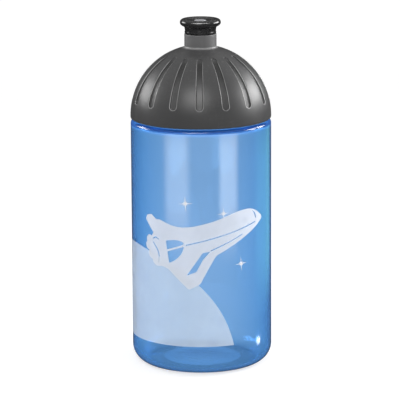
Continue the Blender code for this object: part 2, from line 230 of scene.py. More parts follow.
def tidy_mesh() -> None:
    """Merges doubles in edit mode, turns all faces outwards and goes back to object mode."""
    bpy.ops.mesh.select_all(action="SELECT")
    bpy.ops.mesh.remove_doubles(threshold=MERGE)
    bpy.ops.mesh.select_all(action="SELECT")
    bpy.ops.mesh.normals_make_consistent(inside=False)
    object_mode()


def fill_end_loops() -> None:
    """Closes every open loop of the mesh in edit mode with a face of its own."""
    bpy.ops.mesh.select_all(action="DESELECT")
    bpy.ops.mesh.select_non_manifold()
    bpy.ops.mesh.fill_holes(sides=0)


def combine(obj: bpy.types.Object, other: bpy.types.Object, cut: Cut) -> None:
    """Adds a closed shape to an object or cuts it away, removes the shape and dissolves slivers.

    Args:
        obj: the object that stays.
        other: the closed shape, which is used up.
        cut: whether it is added or cut away.
    """
    pick(obj)
    modifier = obj.modifiers.new("combine", "BOOLEAN")
    modifier.operation = cut.value
    modifier.object = other
    modifier.solver = "MANIFOLD"
    bpy.ops.object.modifier_apply(modifier=modifier.name)
    bpy.data.objects.remove(other, do_unlink=True)
    edit(obj)
    bpy.ops.mesh.dissolve_degenerate(threshold=SLIVER)
    object_mode()


def shade(obj: bpy.types.Object, angle: float = 32.0) -> None:
    """Shades an object smooth, with sharp edges above an angle in degrees.

    Args:
        obj: the object.
        angle: the angle in degrees above which an edge stays sharp.
    """
    pick(obj)
    bpy.ops.object.shade_smooth_by_angle(angle=math.radians(angle))
    object_mode()


def copy_round(obj: bpy.types.Object, count: int) -> bpy.types.Object:
    """Copies a shape round the Z axis, each copy with its own mesh, and joins them.

    Args:
        obj: the shape at its first place.
        count: how many there are in a full turn.

    Returns:
        One object that holds them all.
    """
    copies = [obj]
    for i in range(1, count):
        twin = obj.copy()
        twin.data = obj.data.copy()
        bpy.context.scene.collection.objects.link(twin)
        twin.rotation_euler.z = math.tau * i / count
        copies.append(twin)
    pick(*copies)
    bpy.ops.object.transform_apply(rotation=True)
    bpy.ops.object.join()
    object_mode()
    return obj


def dress(piece: bpy.types.Object, material: bpy.types.Material, body: str) -> None:
    """Gives a piece its finish and lets it ride on a body.

    Args:
        piece: the finished piece, in its place.
        material: its finish.
        body: the moving body that carries it.
    """
    piece.data.materials.clear()
    piece.data.materials.append(material)
    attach(piece, body)
    LOG.info("%s: %d faces, rides on %s", piece.name, len(piece.data.polygons), body)


# ---------------------------------------------------------------- finishes


class Bench:
    """A node tree with short calls that place and wire its nodes."""

    def __init__(self, tree: bpy.types.NodeTree) -> None:
        """Keeps the tree."""
        self.tree = tree

    def node(self, kind: str, settings: dict | None = None, **inputs: object) -> bpy.types.Node:
        """Places a node.

        Args:
            kind: the node's Blender type.
            settings: properties set on the node itself.
            inputs: a value or a socket for each input, with spaces written as underscores.

        Returns:
            The node.
        """
        made = self.tree.nodes.new(kind)
        for key, value in (settings or {}).items():
            setattr(made, key, value)
        for key, value in inputs.items():
            self.set(made.inputs[key.replace("_", " ")], value)
        return made

    def set(self, socket: bpy.types.NodeSocket, value: object) -> None:
        """Wires a socket to an input, or writes a plain value on it.

        Args:
            socket: the socket to feed.
            value: an output to wire, or a plain value.
        """
        if isinstance(value, bpy.types.NodeSocket):
            self.tree.links.new(value, socket)
        else:
            socket.default_value = value

    def math(self, operation: str, first: object, second: object = 0.0) -> bpy.types.NodeSocket:
        """Places a Math node and returns its result.

        Args:
            operation: the node's operation.
            first: its first input, an output or a number.
            second: its second input, an output or a number.

        Returns:
            The result.
        """
        made = self.tree.nodes.new("ShaderNodeMath")
        made.operation = operation
        self.set(made.inputs[0], first)
        self.set(made.inputs[1], second)
        return made.outputs[0]

    def spread(self, value: object, low: Point, high: Point) -> bpy.types.NodeSocket:
        """Maps a value from the range low[0]..high[0] to the range low[1]..high[1].

        Args:
            value: the value to map.
            low: the range's low end and what it becomes.
            high: the range's high end and what it becomes.

        Returns:
            The mapped value.
        """
        made = self.node(
            "ShaderNodeMapRange",
            Value=value,
            From_Min=low[0],
            From_Max=high[0],
            To_Min=low[1],
            To_Max=high[1],
        )
        return made.outputs["Result"]

    def band(self, value: object, rise: Point, fall: Point) -> bpy.types.NodeSocket:
        """Gives a mask that rises from 0 to 1 over one stretch of a value and falls back over another.

        Args:
            value: the value that the mask follows.
            rise: where the mask starts to rise and where it is full.
            fall: where the mask starts to fall and where it is gone.

        Returns:
            The mask.
        """
        up = self.spread(value, (rise[0], 0.0), (rise[1], 1.0))
        down = self.spread(value, (fall[0], 1.0), (fall[1], 0.0))
        return self.math("MULTIPLY", up, down)

    def blend(self, factor: object, first: object, second: object) -> bpy.types.NodeSocket:
        """Mixes two colours and returns the result.

        Args:
            factor: the share of the second colour.
            first: the first colour.
            second: the second colour.

        Returns:
            The mixed colour.
        """
        made = self.tree.nodes.new("ShaderNodeMix")
        made.data_type = "RGBA"
        self.set(made.inputs["Factor"], factor)
        self.set(made.inputs["A"], first)
        self.set(made.inputs["B"], second)
        return made.outputs["Result"]


def new_group(name: str, inputs: dict[str, float], outputs: list[str]) -> tuple[Bench, dict, dict]:
    """Starts a shader node group that reads a place and some numbers and gives numbers.

    Args:
        name: the group's name.
        inputs: its number inputs with their defaults; Vector comes first by itself.
        outputs: its number outputs.

    Returns:
        A bench on the group, its input sockets by name, and its output sockets by name.
    """
    tree = bpy.data.node_groups.new(name, "ShaderNodeTree")
    tree.interface.new_socket("Vector", in_out="INPUT", socket_type="NodeSocketVector")
    for key, default in inputs.items():
        socket = tree.interface.new_socket(key, in_out="INPUT", socket_type="NodeSocketFloat")
        socket.default_value = default
    for key in outputs:
        tree.interface.new_socket(key, in_out="OUTPUT", socket_type="NodeSocketFloat")
    source = tree.nodes.new("NodeGroupInput")
    target = tree.nodes.new("NodeGroupOutput")
    given = {socket.name: socket for socket in source.outputs if socket.name}
    wanted = {socket.name: socket for socket in target.inputs if socket.name}
    return Bench(tree), given, wanted


class SharedEffects:
    """Node groups that more than one finish uses, each built once."""

    def __init__(self) -> None:
        """Builds the groups."""
        self.grain = self._grain()
        self.scuffs = self._scuffs()
        self.dust = self._dust()

    @staticmethod
    def _grain() -> bpy.types.NodeTree:
        """A moulded surface's fine texture: a height, and a slow change of tone.

        Returns:
            The node group.
        """
        bench, given, wanted = new_group(
            "moulded_grain", {"Fine": 2600.0, "Slow": 45.0}, ["Height", "Tone"]
        )
        fine = bench.node(
            "ShaderNodeTexNoise", Vector=given["Vector"], Scale=given["Fine"], Detail=3.0
        )
        cells = bench.node("ShaderNodeTexVoronoi", Vector=given["Vector"], Scale=given["Fine"])
        slow = bench.node(
            "ShaderNodeTexNoise", Vector=given["Vector"], Scale=given["Slow"], Detail=4.0
        )
        height = bench.math("MULTIPLY", fine.outputs["Fac"], cells.outputs["Distance"])
        bench.set(wanted["Height"], bench.math("ADD", height, fine.outputs["Fac"]))
        bench.set(wanted["Tone"], bench.spread(slow.outputs["Fac"], (0.3, 0.0), (0.7, 1.0)))
        return bench.tree

    @staticmethod
    def _scuffs() -> bpy.types.NodeTree:
        """Hairline scratches from handling, in two directions, and a patchy mask that thins them.

        Returns:
            The node group.
        """
        bench, given, wanted = new_group("scuffs", {"Scale": 60.0, "Amount": 0.5}, ["Mask"])
        lines = []
        for squeeze in ((14.0, 14.0, 0.7), (1.2, 1.2, 16.0)):
            bent = bench.node("ShaderNodeMapping", Vector=given["Vector"], Scale=squeeze)
            bent.inputs["Rotation"].default_value = (0.35, 0.2, 0.15 * squeeze[2])
            noise = bench.node(
                "ShaderNodeTexNoise",
                Vector=bent.outputs["Vector"],
                Scale=given["Scale"],
                Detail=2.0,
            )
            centred = bench.math("ABSOLUTE", bench.math("SUBTRACT", noise.outputs["Fac"], 0.5))
            lines.append(bench.spread(centred, (0.0, 1.0), (0.006, 0.0)))
        patches = bench.node(
            "ShaderNodeTexNoise", Vector=given["Vector"], Scale=given["Scale"], Detail=1.0
        )
        patch = bench.spread(patches.outputs["Fac"], (0.5, 0.0), (0.62, 1.0))
        both = bench.math("MAXIMUM", lines[0], lines[1])
        thinned = bench.math("MULTIPLY", both, patch)
        bench.set(wanted["Mask"], bench.math("MULTIPLY", thinned, given["Amount"]))
        return bench.tree

    @staticmethod
    def _dust() -> bpy.types.NodeTree:
        """Dust that settles on what faces up, broken into specks.

        Returns:
            The node group.
        """
        bench, given, wanted = new_group("settled_dust", {"Specks": 900.0, "Amount": 0.3}, ["Mask"])
        geometry = bench.node("ShaderNodeNewGeometry")
        parts = bench.node("ShaderNodeSeparateXYZ", Vector=geometry.outputs["Normal"])
        upward = bench.spread(parts.outputs["Z"], (0.35, 0.0), (1.0, 1.0))
        specks = bench.node(
            "ShaderNodeTexNoise", Vector=given["Vector"], Scale=given["Specks"], Detail=2.0
        )
        broken = bench.spread(specks.outputs["Fac"], (0.56, 0.0), (0.7, 1.0))
        settled = bench.math("MULTIPLY", upward, broken)
        bench.set(wanted["Mask"], bench.math("MULTIPLY", settled, given["Amount"]))
        return bench.tree


def start_material(name: str) -> tuple[bpy.types.Material, Bench, bpy.types.Node, bpy.types.NodeSocket]:
    """Starts a material.

    Args:
        name: its name.

    Returns:
        The material, a bench on its tree, its Principled node, and the object's own coordinates.
    """
    material = bpy.data.materials.new(name)
    material.use_nodes = True
    bench = Bench(material.node_tree)
    shader = material.node_tree.nodes["Principled BSDF"]
    place = bench.node("ShaderNodeTexCoord").outputs["Object"]
    return material, bench, shader, place


def use_group(bench: Bench, tree: bpy.types.NodeTree, **inputs: object) -> bpy.types.Node:
    """Places a shared group in a material with its own values."""
    return bench.node("ShaderNodeGroup", {"node_tree": tree}, **inputs)


def toned(bench: Bench, tone: bpy.types.NodeSocket, colour: Colour, low: float) -> bpy.types.NodeSocket:
    """Lets a colour change with a tone, down to a share of itself.

    Args:
        bench: the material's bench.
        tone: a value from 0 to 1.
        colour: the colour where the tone is 1.
        low: the share of the colour that is left where the tone is 0.

    Returns:
        The changing colour.
    """
    return bench.blend(tone, (*tuple(low * part for part in colour), 1.0), (*colour, 1.0))


def emboss(
    bench: Bench, shader: bpy.types.Node, height: bpy.types.NodeSocket, strength: float, depth: float
) -> None:
    """Gives a finish its bump from a height pattern of this depth."""
    bump = bench.node("ShaderNodeBump", Height=height, Strength=strength, Distance=depth)
    bench.set(shader.inputs["Normal"], bump.outputs["Normal"])


@dataclass(frozen=True)
class ClearTint:
    """Clear plastic that is tinted through its thickness."""

    name: str
    tint: Colour
    density: float
    roughness: float
    ior: float
    ripple: float
    rim_tint: Colour
    # painted glow of the shoulder band: its heights, its colour and its strength
    painted_glow_band: Point
    painted_glow_colour: Colour
    glow: float

    def build(self, effects: SharedEffects) -> bpy.types.Material:
        """Makes the material: gloss with faint scuffs, flow ripples, and colour with depth.

        Between the two heights of the glow band the wall has a painted glow: deep blue light comes out of the
        shoulder though no lamp is there.

        Args:
            effects: the shared node groups.

        Returns:
            The material.
        """
        material, bench, shader, place = start_material(self.name)
        scuffs = use_group(bench, effects.scuffs, Vector=place, Scale=55.0, Amount=0.5)
        flow = bench.node("ShaderNodeMapping", Vector=place, Scale=(1.0, 1.0, 0.35))
        ripple = bench.node(
            "ShaderNodeTexNoise", Vector=flow.outputs["Vector"], Scale=75.0, Detail=1.5
        )
        slow = bench.node("ShaderNodeTexNoise", Vector=place, Scale=30.0, Detail=2.0)
        worn = bench.math("MULTIPLY", scuffs.outputs["Mask"], 0.25)
        hazy = bench.spread(slow.outputs["Fac"], (0.3, self.roughness), (0.7, self.roughness * 1.8))
        bump = bench.node(
            "ShaderNodeBump", Height=ripple.outputs["Fac"], Strength=1.0, Distance=self.ripple
        )
        height = bench.node("ShaderNodeSeparateXYZ", Vector=place).outputs["Z"]
        # Painted glow: the shoulder band gives out deep blue light of its own, standing in for light that is
        # not there.
        low, high = self.painted_glow_band
        band = bench.band(height, (low, low + 1.2 * MM), (high - 0.2 * MM, high + 0.2 * MM))
        bench.set(shader.inputs["Emission Strength"], bench.math("MULTIPLY", band, self.glow))
        shader.inputs["Emission Color"].default_value = (*self.painted_glow_colour, 1.0)
        scratch = bench.node(
            "ShaderNodeBump",
            {"invert": True},
            Height=scuffs.outputs["Mask"],
            Strength=0.5,
            Distance=0.004 * MM,
            Normal=bump.outputs["Normal"],
        )
        bench.set(shader.inputs["Roughness"], bench.math("ADD", hazy, worn))
        bench.set(shader.inputs["Normal"], scratch.outputs["Normal"])
        graze = bench.node("ShaderNodeLayerWeight", Blend=0.5).outputs["Facing"]
        rim = bench.blend(graze, (1.0, 1.0, 1.0, 1.0), (*self.rim_tint, 1.0))
        bench.set(shader.inputs["Base Color"], rim)
        shader.inputs["IOR"].default_value = self.ior
        shader.inputs["Transmission Weight"].default_value = 1.0
        body = bench.node(
            "ShaderNodeVolumeAbsorption", Color=(*self.tint, 1.0), Density=self.density
        )
        output = material.node_tree.nodes["Material Output"]
        bench.set(output.inputs["Volume"], body.outputs["Volume"])
        return material


@dataclass(frozen=True)
class MouldedPlastic:
    """Opaque moulded plastic, from satin to glossy by its roughness and grain."""

    name: str
    colour: Colour
    # colour of the hairline scuffs, real wear
    wear_and_highlight: Colour
    roughness: float
    grain: float
    fine: float
    dust: float
    matt_from: float = 1.0
    matt_colour: Colour = (0.1, 0.1, 0.1)
    matt_roughness: float = 0.6
    dome_centre_z: float = 0.0
    dome_radius: float = 0.0
    # Painted highlight: the light colour of the groove lips, a painted line of light along each edge.
    lip_highlight_colour: Colour = (0.36, 0.36, 0.36)
    lip_rise: Point = (0.006 * MM, 0.03 * MM)
    lip_fall: Point = (0.16 * MM, 0.27 * MM)
    # Painted shade: the dark colour in each groove's corner beside the lip.
    corner_shade_colour: Colour = (0.02, 0.02, 0.02)
    corner_shade: float = 0.95
    corner_rise: Point = (0.24 * MM, 0.3 * MM)
    corner_fall: Point = (0.62 * MM, 0.8 * MM)
    # Painted light: the lighter colour of the groove floors.
    groove_floor_light_colour: Colour = (0.085, 0.085, 0.085)
    floor_rise: Point = (0.45 * MM, 0.85 * MM)
    grooved_rise: Point = (4.0 * MM, 6.5 * MM)
    grooved_fall: Point = (29.6 * MM, 31.2 * MM)
    # Painted highlight: a light ring on the fillet at the chimney's foot.
    foot_rise: Point = (35.35 * MM, 35.75 * MM)
    foot_fall: Point = (36.1 * MM, 36.7 * MM)
    foot_highlight: float = 0.65

    def build(self, effects: SharedEffects) -> bpy.types.Material:
        """Makes the material: mottled tone, moulded grain, hairline scuffs and a little dust.

        Above matt_from (a height) the surface is matt and has its own colour. On a dome, the lip,
        corner and floor of a groove are depths below the dome, and the grooved stretch and the
        chimney's foot are heights above the dome's centre; each starts over its rise and ends
        over its fall. The lips and the chimney's foot get painted highlights, the corners painted
        shade and the floors painted light.

        Args:
            effects: the shared node groups.

        Returns:
            The material.
        """
        material, bench, shader, place = start_material(self.name)
        grain = use_group(bench, effects.grain, Vector=place, Fine=self.fine, Slow=38.0)
        scuffs = use_group(bench, effects.scuffs, Vector=place, Scale=70.0, Amount=0.6)
        dust = use_group(bench, effects.dust, Vector=place, Specks=1100.0, Amount=self.dust)
        tone = grain.outputs["Tone"]
        height = bench.node("ShaderNodeSeparateXYZ", Vector=place).outputs["Z"]
        matt = bench.spread(height, (self.matt_from, 0.0), (self.matt_from + 0.6 * MM, 1.0))
        base = bench.blend(matt, toned(bench, tone, self.colour, 0.9), (*self.matt_colour, 1.0))
        if self.dome_radius > 0:
            # painted highlights, painted shade and painted light in the dome's grooves
            base = self._paint_groove_light(bench, place, base, tone)
        worn = bench.blend(scuffs.outputs["Mask"], base, (*self.wear_and_highlight, 1.0))
        dusty = bench.blend(dust.outputs["Mask"], worn, DUST_COLOUR)
        bench.set(shader.inputs["Base Color"], dusty)
        rough = bench.spread(tone, (0.0, self.roughness * 0.86), (1.0, self.roughness * 1.16))
        dull = bench.math("MULTIPLY", matt, self.matt_roughness - self.roughness)
        scuffed = bench.math("MULTIPLY", scuffs.outputs["Mask"], 0.2)
        bench.set(shader.inputs["Roughness"], bench.math("ADD", bench.math("ADD", rough, dull), scuffed))
        emboss(bench, shader, grain.outputs["Height"], 0.6, self.grain)
        return material

    def _paint_groove_light(
        self,
        bench: Bench,
        place: bpy.types.NodeSocket,
        colour: bpy.types.NodeSocket,
        tone: bpy.types.NodeSocket,
    ) -> bpy.types.NodeSocket:
        """Paints highlights on the groove lips and the chimney's foot, painted shade in the groove corners
        and painted light on the groove floors.

        Args:
            bench: the material's bench.
            place: the object's own coordinates.
            colour: the colour so far.
            tone: a slow change of tone that breaks the painted highlights up.

        Returns:
            The changed colour.
        """
        offset = bench.node("ShaderNodeVectorMath", {"operation": "SUBTRACT"})
        bench.set(offset.inputs[0], place)
        offset.inputs[1].default_value = (0.0, 0.0, self.dome_centre_z)
        reach = bench.node(
            "ShaderNodeVectorMath", {"operation": "LENGTH"}, Vector=offset.outputs["Vector"]
        ).outputs["Value"]
        depth = bench.math("SUBTRACT", self.dome_radius, reach)
        height = bench.node("ShaderNodeSeparateXYZ", Vector=offset.outputs["Vector"]).outputs["Z"]
        grooved = bench.band(height, self.grooved_rise, self.grooved_fall)
        # Painted highlight ring on the chimney's foot fillet.
        foot = bench.math("MULTIPLY", bench.band(height, self.foot_rise, self.foot_fall), self.foot_highlight)
        # Painted highlight along each groove lip, broken up by the tone.
        lip = bench.math("MULTIPLY", bench.band(depth, self.lip_rise, self.lip_fall), grooved)
        uneven = bench.math("MULTIPLY", lip, bench.spread(tone, (0.1, 0.25), (0.9, 1.0)))
        # Painted shade in the groove corners, where shade falls inside the groove.
        corner = bench.math("MULTIPLY", bench.band(depth, self.corner_rise, self.corner_fall), grooved)
        # Painted light on the groove floors, stronger where the tone is high.
        sunk = bench.spread(depth, (self.floor_rise[0], 0.0), (self.floor_rise[1], 1.0))
        lit_groove_floor = bench.math("MULTIPLY", bench.math("MULTIPLY", sunk, grooved), tone)
        shaded = bench.blend(
            bench.math("MULTIPLY", corner, self.corner_shade), colour, (*self.corner_shade_colour, 1.0)
        )
        # Painted highlights on the groove lips and the chimney's foot.
        wear_and_highlight = bench.blend(bench.math("MAXIMUM", uneven, foot), shaded, (*self.lip_highlight_colour, 1.0))
        return bench.blend(lit_groove_floor, wear_and_highlight, (*self.groove_floor_light_colour, 1.0))


@dataclass(frozen=True)
class Silicone:
    """Milky, slightly tacky silicone rubber."""

    name: str
    colour: Colour
    roughness: float

    def build(self, effects: SharedEffects) -> bpy.types.Material:
        """Makes the material: a milky tone with a soft matt surface and clinging specks.

        Args:
            effects: the shared node groups.

        Returns:
            The material.
        """
        material, bench, shader, place = start_material(self.name)
        grain = use_group(bench, effects.grain, Vector=place, Fine=1800.0, Slow=120.0)
        dust = use_group(bench, effects.dust, Vector=place, Specks=1500.0, Amount=0.25)
        milky = toned(bench, grain.outputs["Tone"], self.colour, 0.86)
        specked = bench.blend(dust.outputs["Mask"], milky, (0.5, 0.48, 0.45, 1.0))
        bench.set(shader.inputs["Base Color"], specked)
        bench.set(
            shader.inputs["Roughness"],
            bench.spread(grain.outputs["Tone"], (0.0, self.roughness), (1.0, self.roughness + 0.12)),
        )
        emboss(bench, shader, grain.outputs["Height"], 0.4, 0.01 * MM)
        shader.inputs["Subsurface Weight"].default_value = 0.2
        shader.inputs["Subsurface Scale"].default_value = 1.5 * MM
        return material


@dataclass(frozen=True)
class Ink:
    """A screen-printed ink film: see-through by its cover, with blotches where it was laid thin."""

    name: str
    colour: Colour
    cover: float
    blotch: float
    blotch_scale: float

    def build(self, effects: SharedEffects) -> bpy.types.Material:
        """Makes the material: white pigment whose cover changes slowly, with thin spots.

        Args:
            effects: the shared node groups.

        Returns:
            The material.
        """
        material, bench, shader, place = start_material(self.name)
        grain = use_group(bench, effects.grain, Vector=place, Fine=1500.0, Slow=self.blotch_scale)
        tone = grain.outputs["Tone"]
        wide = bench.node(
            "ShaderNodeTexNoise", Vector=place, Scale=self.blotch_scale * 0.45, Detail=5.0
        )
        spots = bench.node("ShaderNodeTexVoronoi", Vector=place, Scale=self.blotch_scale * 1.6)
        spot = bench.spread(spots.outputs["Distance"], (0.1, 1.0), (0.42, 0.0))
        cloudy = bench.spread(wide.outputs["Fac"], (0.42, 0.0), (0.68, 1.0))
        thin = bench.math("MULTIPLY", bench.math("MULTIPLY", spot, cloudy), self.blotch)
        mottled = bench.spread(tone, (0.0, self.cover - 0.3 * self.blotch), (1.0, self.cover))
        bench.set(shader.inputs["Alpha"], bench.math("SUBTRACT", mottled, thin))
        bench.set(shader.inputs["Base Color"], toned(bench, tone, self.colour, 0.94))
        bench.set(shader.inputs["Roughness"], bench.spread(tone, (0.0, 0.3), (1.0, 0.42)))
        emboss(bench, shader, grain.outputs["Height"], 0.3, 0.006 * MM)
        return material


@dataclass(frozen=True)
class PaleFloor:
    """A plain pale studio table top that glows a little, as if lit from below, with a painted pool of light
    under the bottle.
    """

    name: str
    colour: Colour
    glow: float
    # extra glow under the bottle: a painted pool of light
    painted_light_pool: float
    far_glow: float
    pool_radius: float = 29.0 * MM
    far: Point = (0.5, 1.3)

    def build(self, effects: SharedEffects) -> bpy.types.Material:
        """Makes the material: matt, toned faintly, with a painted pool of light under the middle and a
        brighter distance.

        Args:
            effects: the shared node groups.

        Returns:
            The material.
        """
        material, bench, shader, place = start_material(self.name)
        grain = use_group(bench, effects.grain, Vector=place, Fine=700.0, Slow=3.0)
        tone = grain.outputs["Tone"]
        bench.set(shader.inputs["Base Color"], toned(bench, tone, self.colour, 0.985))
        bench.set(shader.inputs["Roughness"], bench.spread(tone, (0.0, 0.8), (1.0, 0.9)))
        shader.inputs["Specular IOR Level"].default_value = 0.1
        shader.inputs["Emission Color"].default_value = (1.0, 1.0, 1.0, 1.0)
        away = bench.node("ShaderNodeVectorMath", {"operation": "LENGTH"}, Vector=place).outputs["Value"]
        # Painted pool of light: more glow under the bottle than round it.
        edge = self.pool_radius
        painted_light_pool = bench.spread(away, (0.8 * edge, self.glow + self.painted_light_pool), (edge, self.glow))
        far = bench.spread(away, (self.far[0], 0.0), (self.far[1], self.far_glow))
        bench.set(shader.inputs["Emission Strength"], bench.math("ADD", painted_light_pool, far))
        return material


@dataclass
class Finishes:
    """Every finish of the bottle, built."""

    effects: SharedEffects
    bottle: bpy.types.Material = field(init=False)
    cap: bpy.types.Material = field(init=False)
    mouth: bpy.types.Material = field(init=False)
    pin: bpy.types.Material = field(init=False)
    silicone: bpy.types.Material = field(init=False)
    planet_ink: bpy.types.Material = field(init=False)
    craft_ink: bpy.types.Material = field(init=False)
    star_ink: bpy.types.Material = field(init=False)

    def __post_init__(self) -> None:
        """Builds the materials."""
        effects = self.effects
        self.bottle = ClearTint(
            "clear_blue",
            tint=(0.002, 0.416, 0.761),
            density=485.0,
            roughness=0.015,
            ior=1.5,
            ripple=0.02 * MM,
            rim_tint=(0.5, 0.86, 0.98),
            # painted deep blue glow along the shoulder band
            painted_glow_band=(125.9 * MM, 129.8 * MM),
            painted_glow_colour=(0.05, 0.2, 0.62),
            glow=0.2,
        ).build(effects)
        # the dome's grooves get painted highlights, painted shade and painted light from the defaults
        self.cap = MouldedPlastic(
            "satin_grey",
            colour=(0.058, 0.058, 0.059),
            wear_and_highlight=(0.12, 0.12, 0.12),
            roughness=0.34,
            grain=0.03 * MM,
            fine=2400.0,
            dust=0.06,
            matt_from=167.5 * MM,
            matt_roughness=0.48,
            matt_colour=(0.125, 0.125, 0.127),
            dome_centre_z=131.7 * MM,
            dome_radius=36.75 * MM,
        ).build(effects)
        self.mouth = MouldedPlastic(
            "gloss_black", (0.013, 0.013, 0.0135), (0.03, 0.03, 0.03), 0.125, 0.004 * MM, 1500.0, 0.1
        ).build(effects)
        self.pin = MouldedPlastic(
            "light_grey", (0.43, 0.43, 0.455), (0.5, 0.5, 0.5), 0.34, 0.01 * MM, 2000.0, 0.1
        ).build(effects)
        self.silicone = Silicone("milky_silicone", (0.78, 0.79, 0.79), 0.45).build(effects)
        self.planet_ink = Ink("thin_white_ink", (0.80, 0.90, 1.0), 0.365, 0.06, 60.0).build(effects)
        self.craft_ink = Ink("full_white_ink", (0.88, 0.91, 0.97), 0.56, 0.04, 90.0).build(effects)
        self.star_ink = Ink("star_ink", (0.94, 0.95, 0.97), 0.75, 0.02, 90.0).build(effects)


# ---------------------------------------------------------------- sub-assemblies


@dataclass
class ScrewThread:
    """A right-hand thread ridge; a negative height makes it stand inwards from a bore."""

    name: str
    radius: float
    height: float
    low_z: float
    start_turn: float
    turns: float
    pitch: float = 6.0 * MM
    root_width: float = 2.4 * MM
    crest_width: float = 1.2 * MM
    embed: float = 0.5 * MM
    fade_turns: float = 0.08
    steps_per_turn: int = 144

    def section(self) -> list[Point]:
        """The ridge's outline (r, dz) with rounded corners at its crest.

        Returns:
            The outline's points.
        """
        sign = math.copysign(1.0, self.height)
        corner = 0.3 * abs(self.height)
        crest = self.radius + self.height
        half = self.crest_width / 2
        return [
            (self.radius - sign * self.embed, -self.root_width / 2),
            (self.radius, -self.root_width / 2),
            (crest - sign * corner, -half - 0.18 * self.crest_width),
            (crest - sign * 0.3 * corner, -half + 0.05 * self.crest_width),
            (crest, -half + 0.3 * self.crest_width),
            (crest, half - 0.3 * self.crest_width),
            (crest - sign * 0.3 * corner, half - 0.05 * self.crest_width),
            (crest - sign * corner, half + 0.18 * self.crest_width),
            (self.radius, self.root_width / 2),
            (self.radius - sign * self.embed, self.root_width / 2),
        ]

    def build(self) -> bpy.types.Object:
        """Draws the section, winds it with a Screw modifier, caps its ends and fades them out.

        Returns:
            The thread as a closed shape.
        """
        object_mode()
        base_z = self.low_z + self.pitch * self.start_turn
        bpy.ops.mesh.primitive_circle_add(
            vertices=len(self.section()), radius=MM, fill_type="NOTHING", location=(0, 0, 0)
        )
        ridge = new_primitive(self.name)
        for vertex, (r, dz) in zip(ridge.data.vertices, self.section()):
            vertex.co = (r, 0.0, base_z + dz)
        pick(ridge)
        screw = ridge.modifiers.new("wind", "SCREW")
        screw.angle = math.tau * self.turns
        screw.screw_offset = self.pitch * self.turns
        screw.steps = round(self.turns * self.steps_per_turn)
        screw.render_steps = screw.steps
        screw.use_merge_vertices = False
        bpy.ops.object.modifier_apply(modifier=screw.name)
        edit(ridge)
        bpy.ops.mesh.select_all(action="DESELECT")
        bpy.ops.mesh.select_mode(type="EDGE")
        bpy.ops.mesh.select_non_manifold()
        bpy.ops.mesh.edge_face_add()
        fill_end_loops()
        tidy_mesh()
        move_points(ridge, self.fade_ends)
        pick(ridge)
        ridge.rotation_euler.z = math.tau * self.start_turn
        bpy.ops.object.transform_apply(rotation=True)
        return ridge

    def fade_ends(self, place: Vector) -> Vector:
        """Sinks the ridge's crest towards its root near both ends.

        Args:
            place: a vertex of the full ridge.

        Returns:
            Its place on the faded ridge.
        """
        reach = Vector((place.x, place.y)).length
        above = (reach - self.radius) * math.copysign(1.0, self.height)
        if above <= 0:
            return place
        risen = place.z - (self.low_z + self.pitch * self.start_turn)
        angle = math.atan2(place.y, place.x) / math.tau
        turn_here = angle + round(risen / self.pitch - angle)
        end = min(turn_here, self.turns - turn_here) / self.fade_turns
        kept = min(1.0, max(0.04, end)) ** 0.5
        wanted = self.radius + (reach - self.radius) * kept
        return Vector((place.x * wanted / reach, place.y * wanted / reach, place.z))


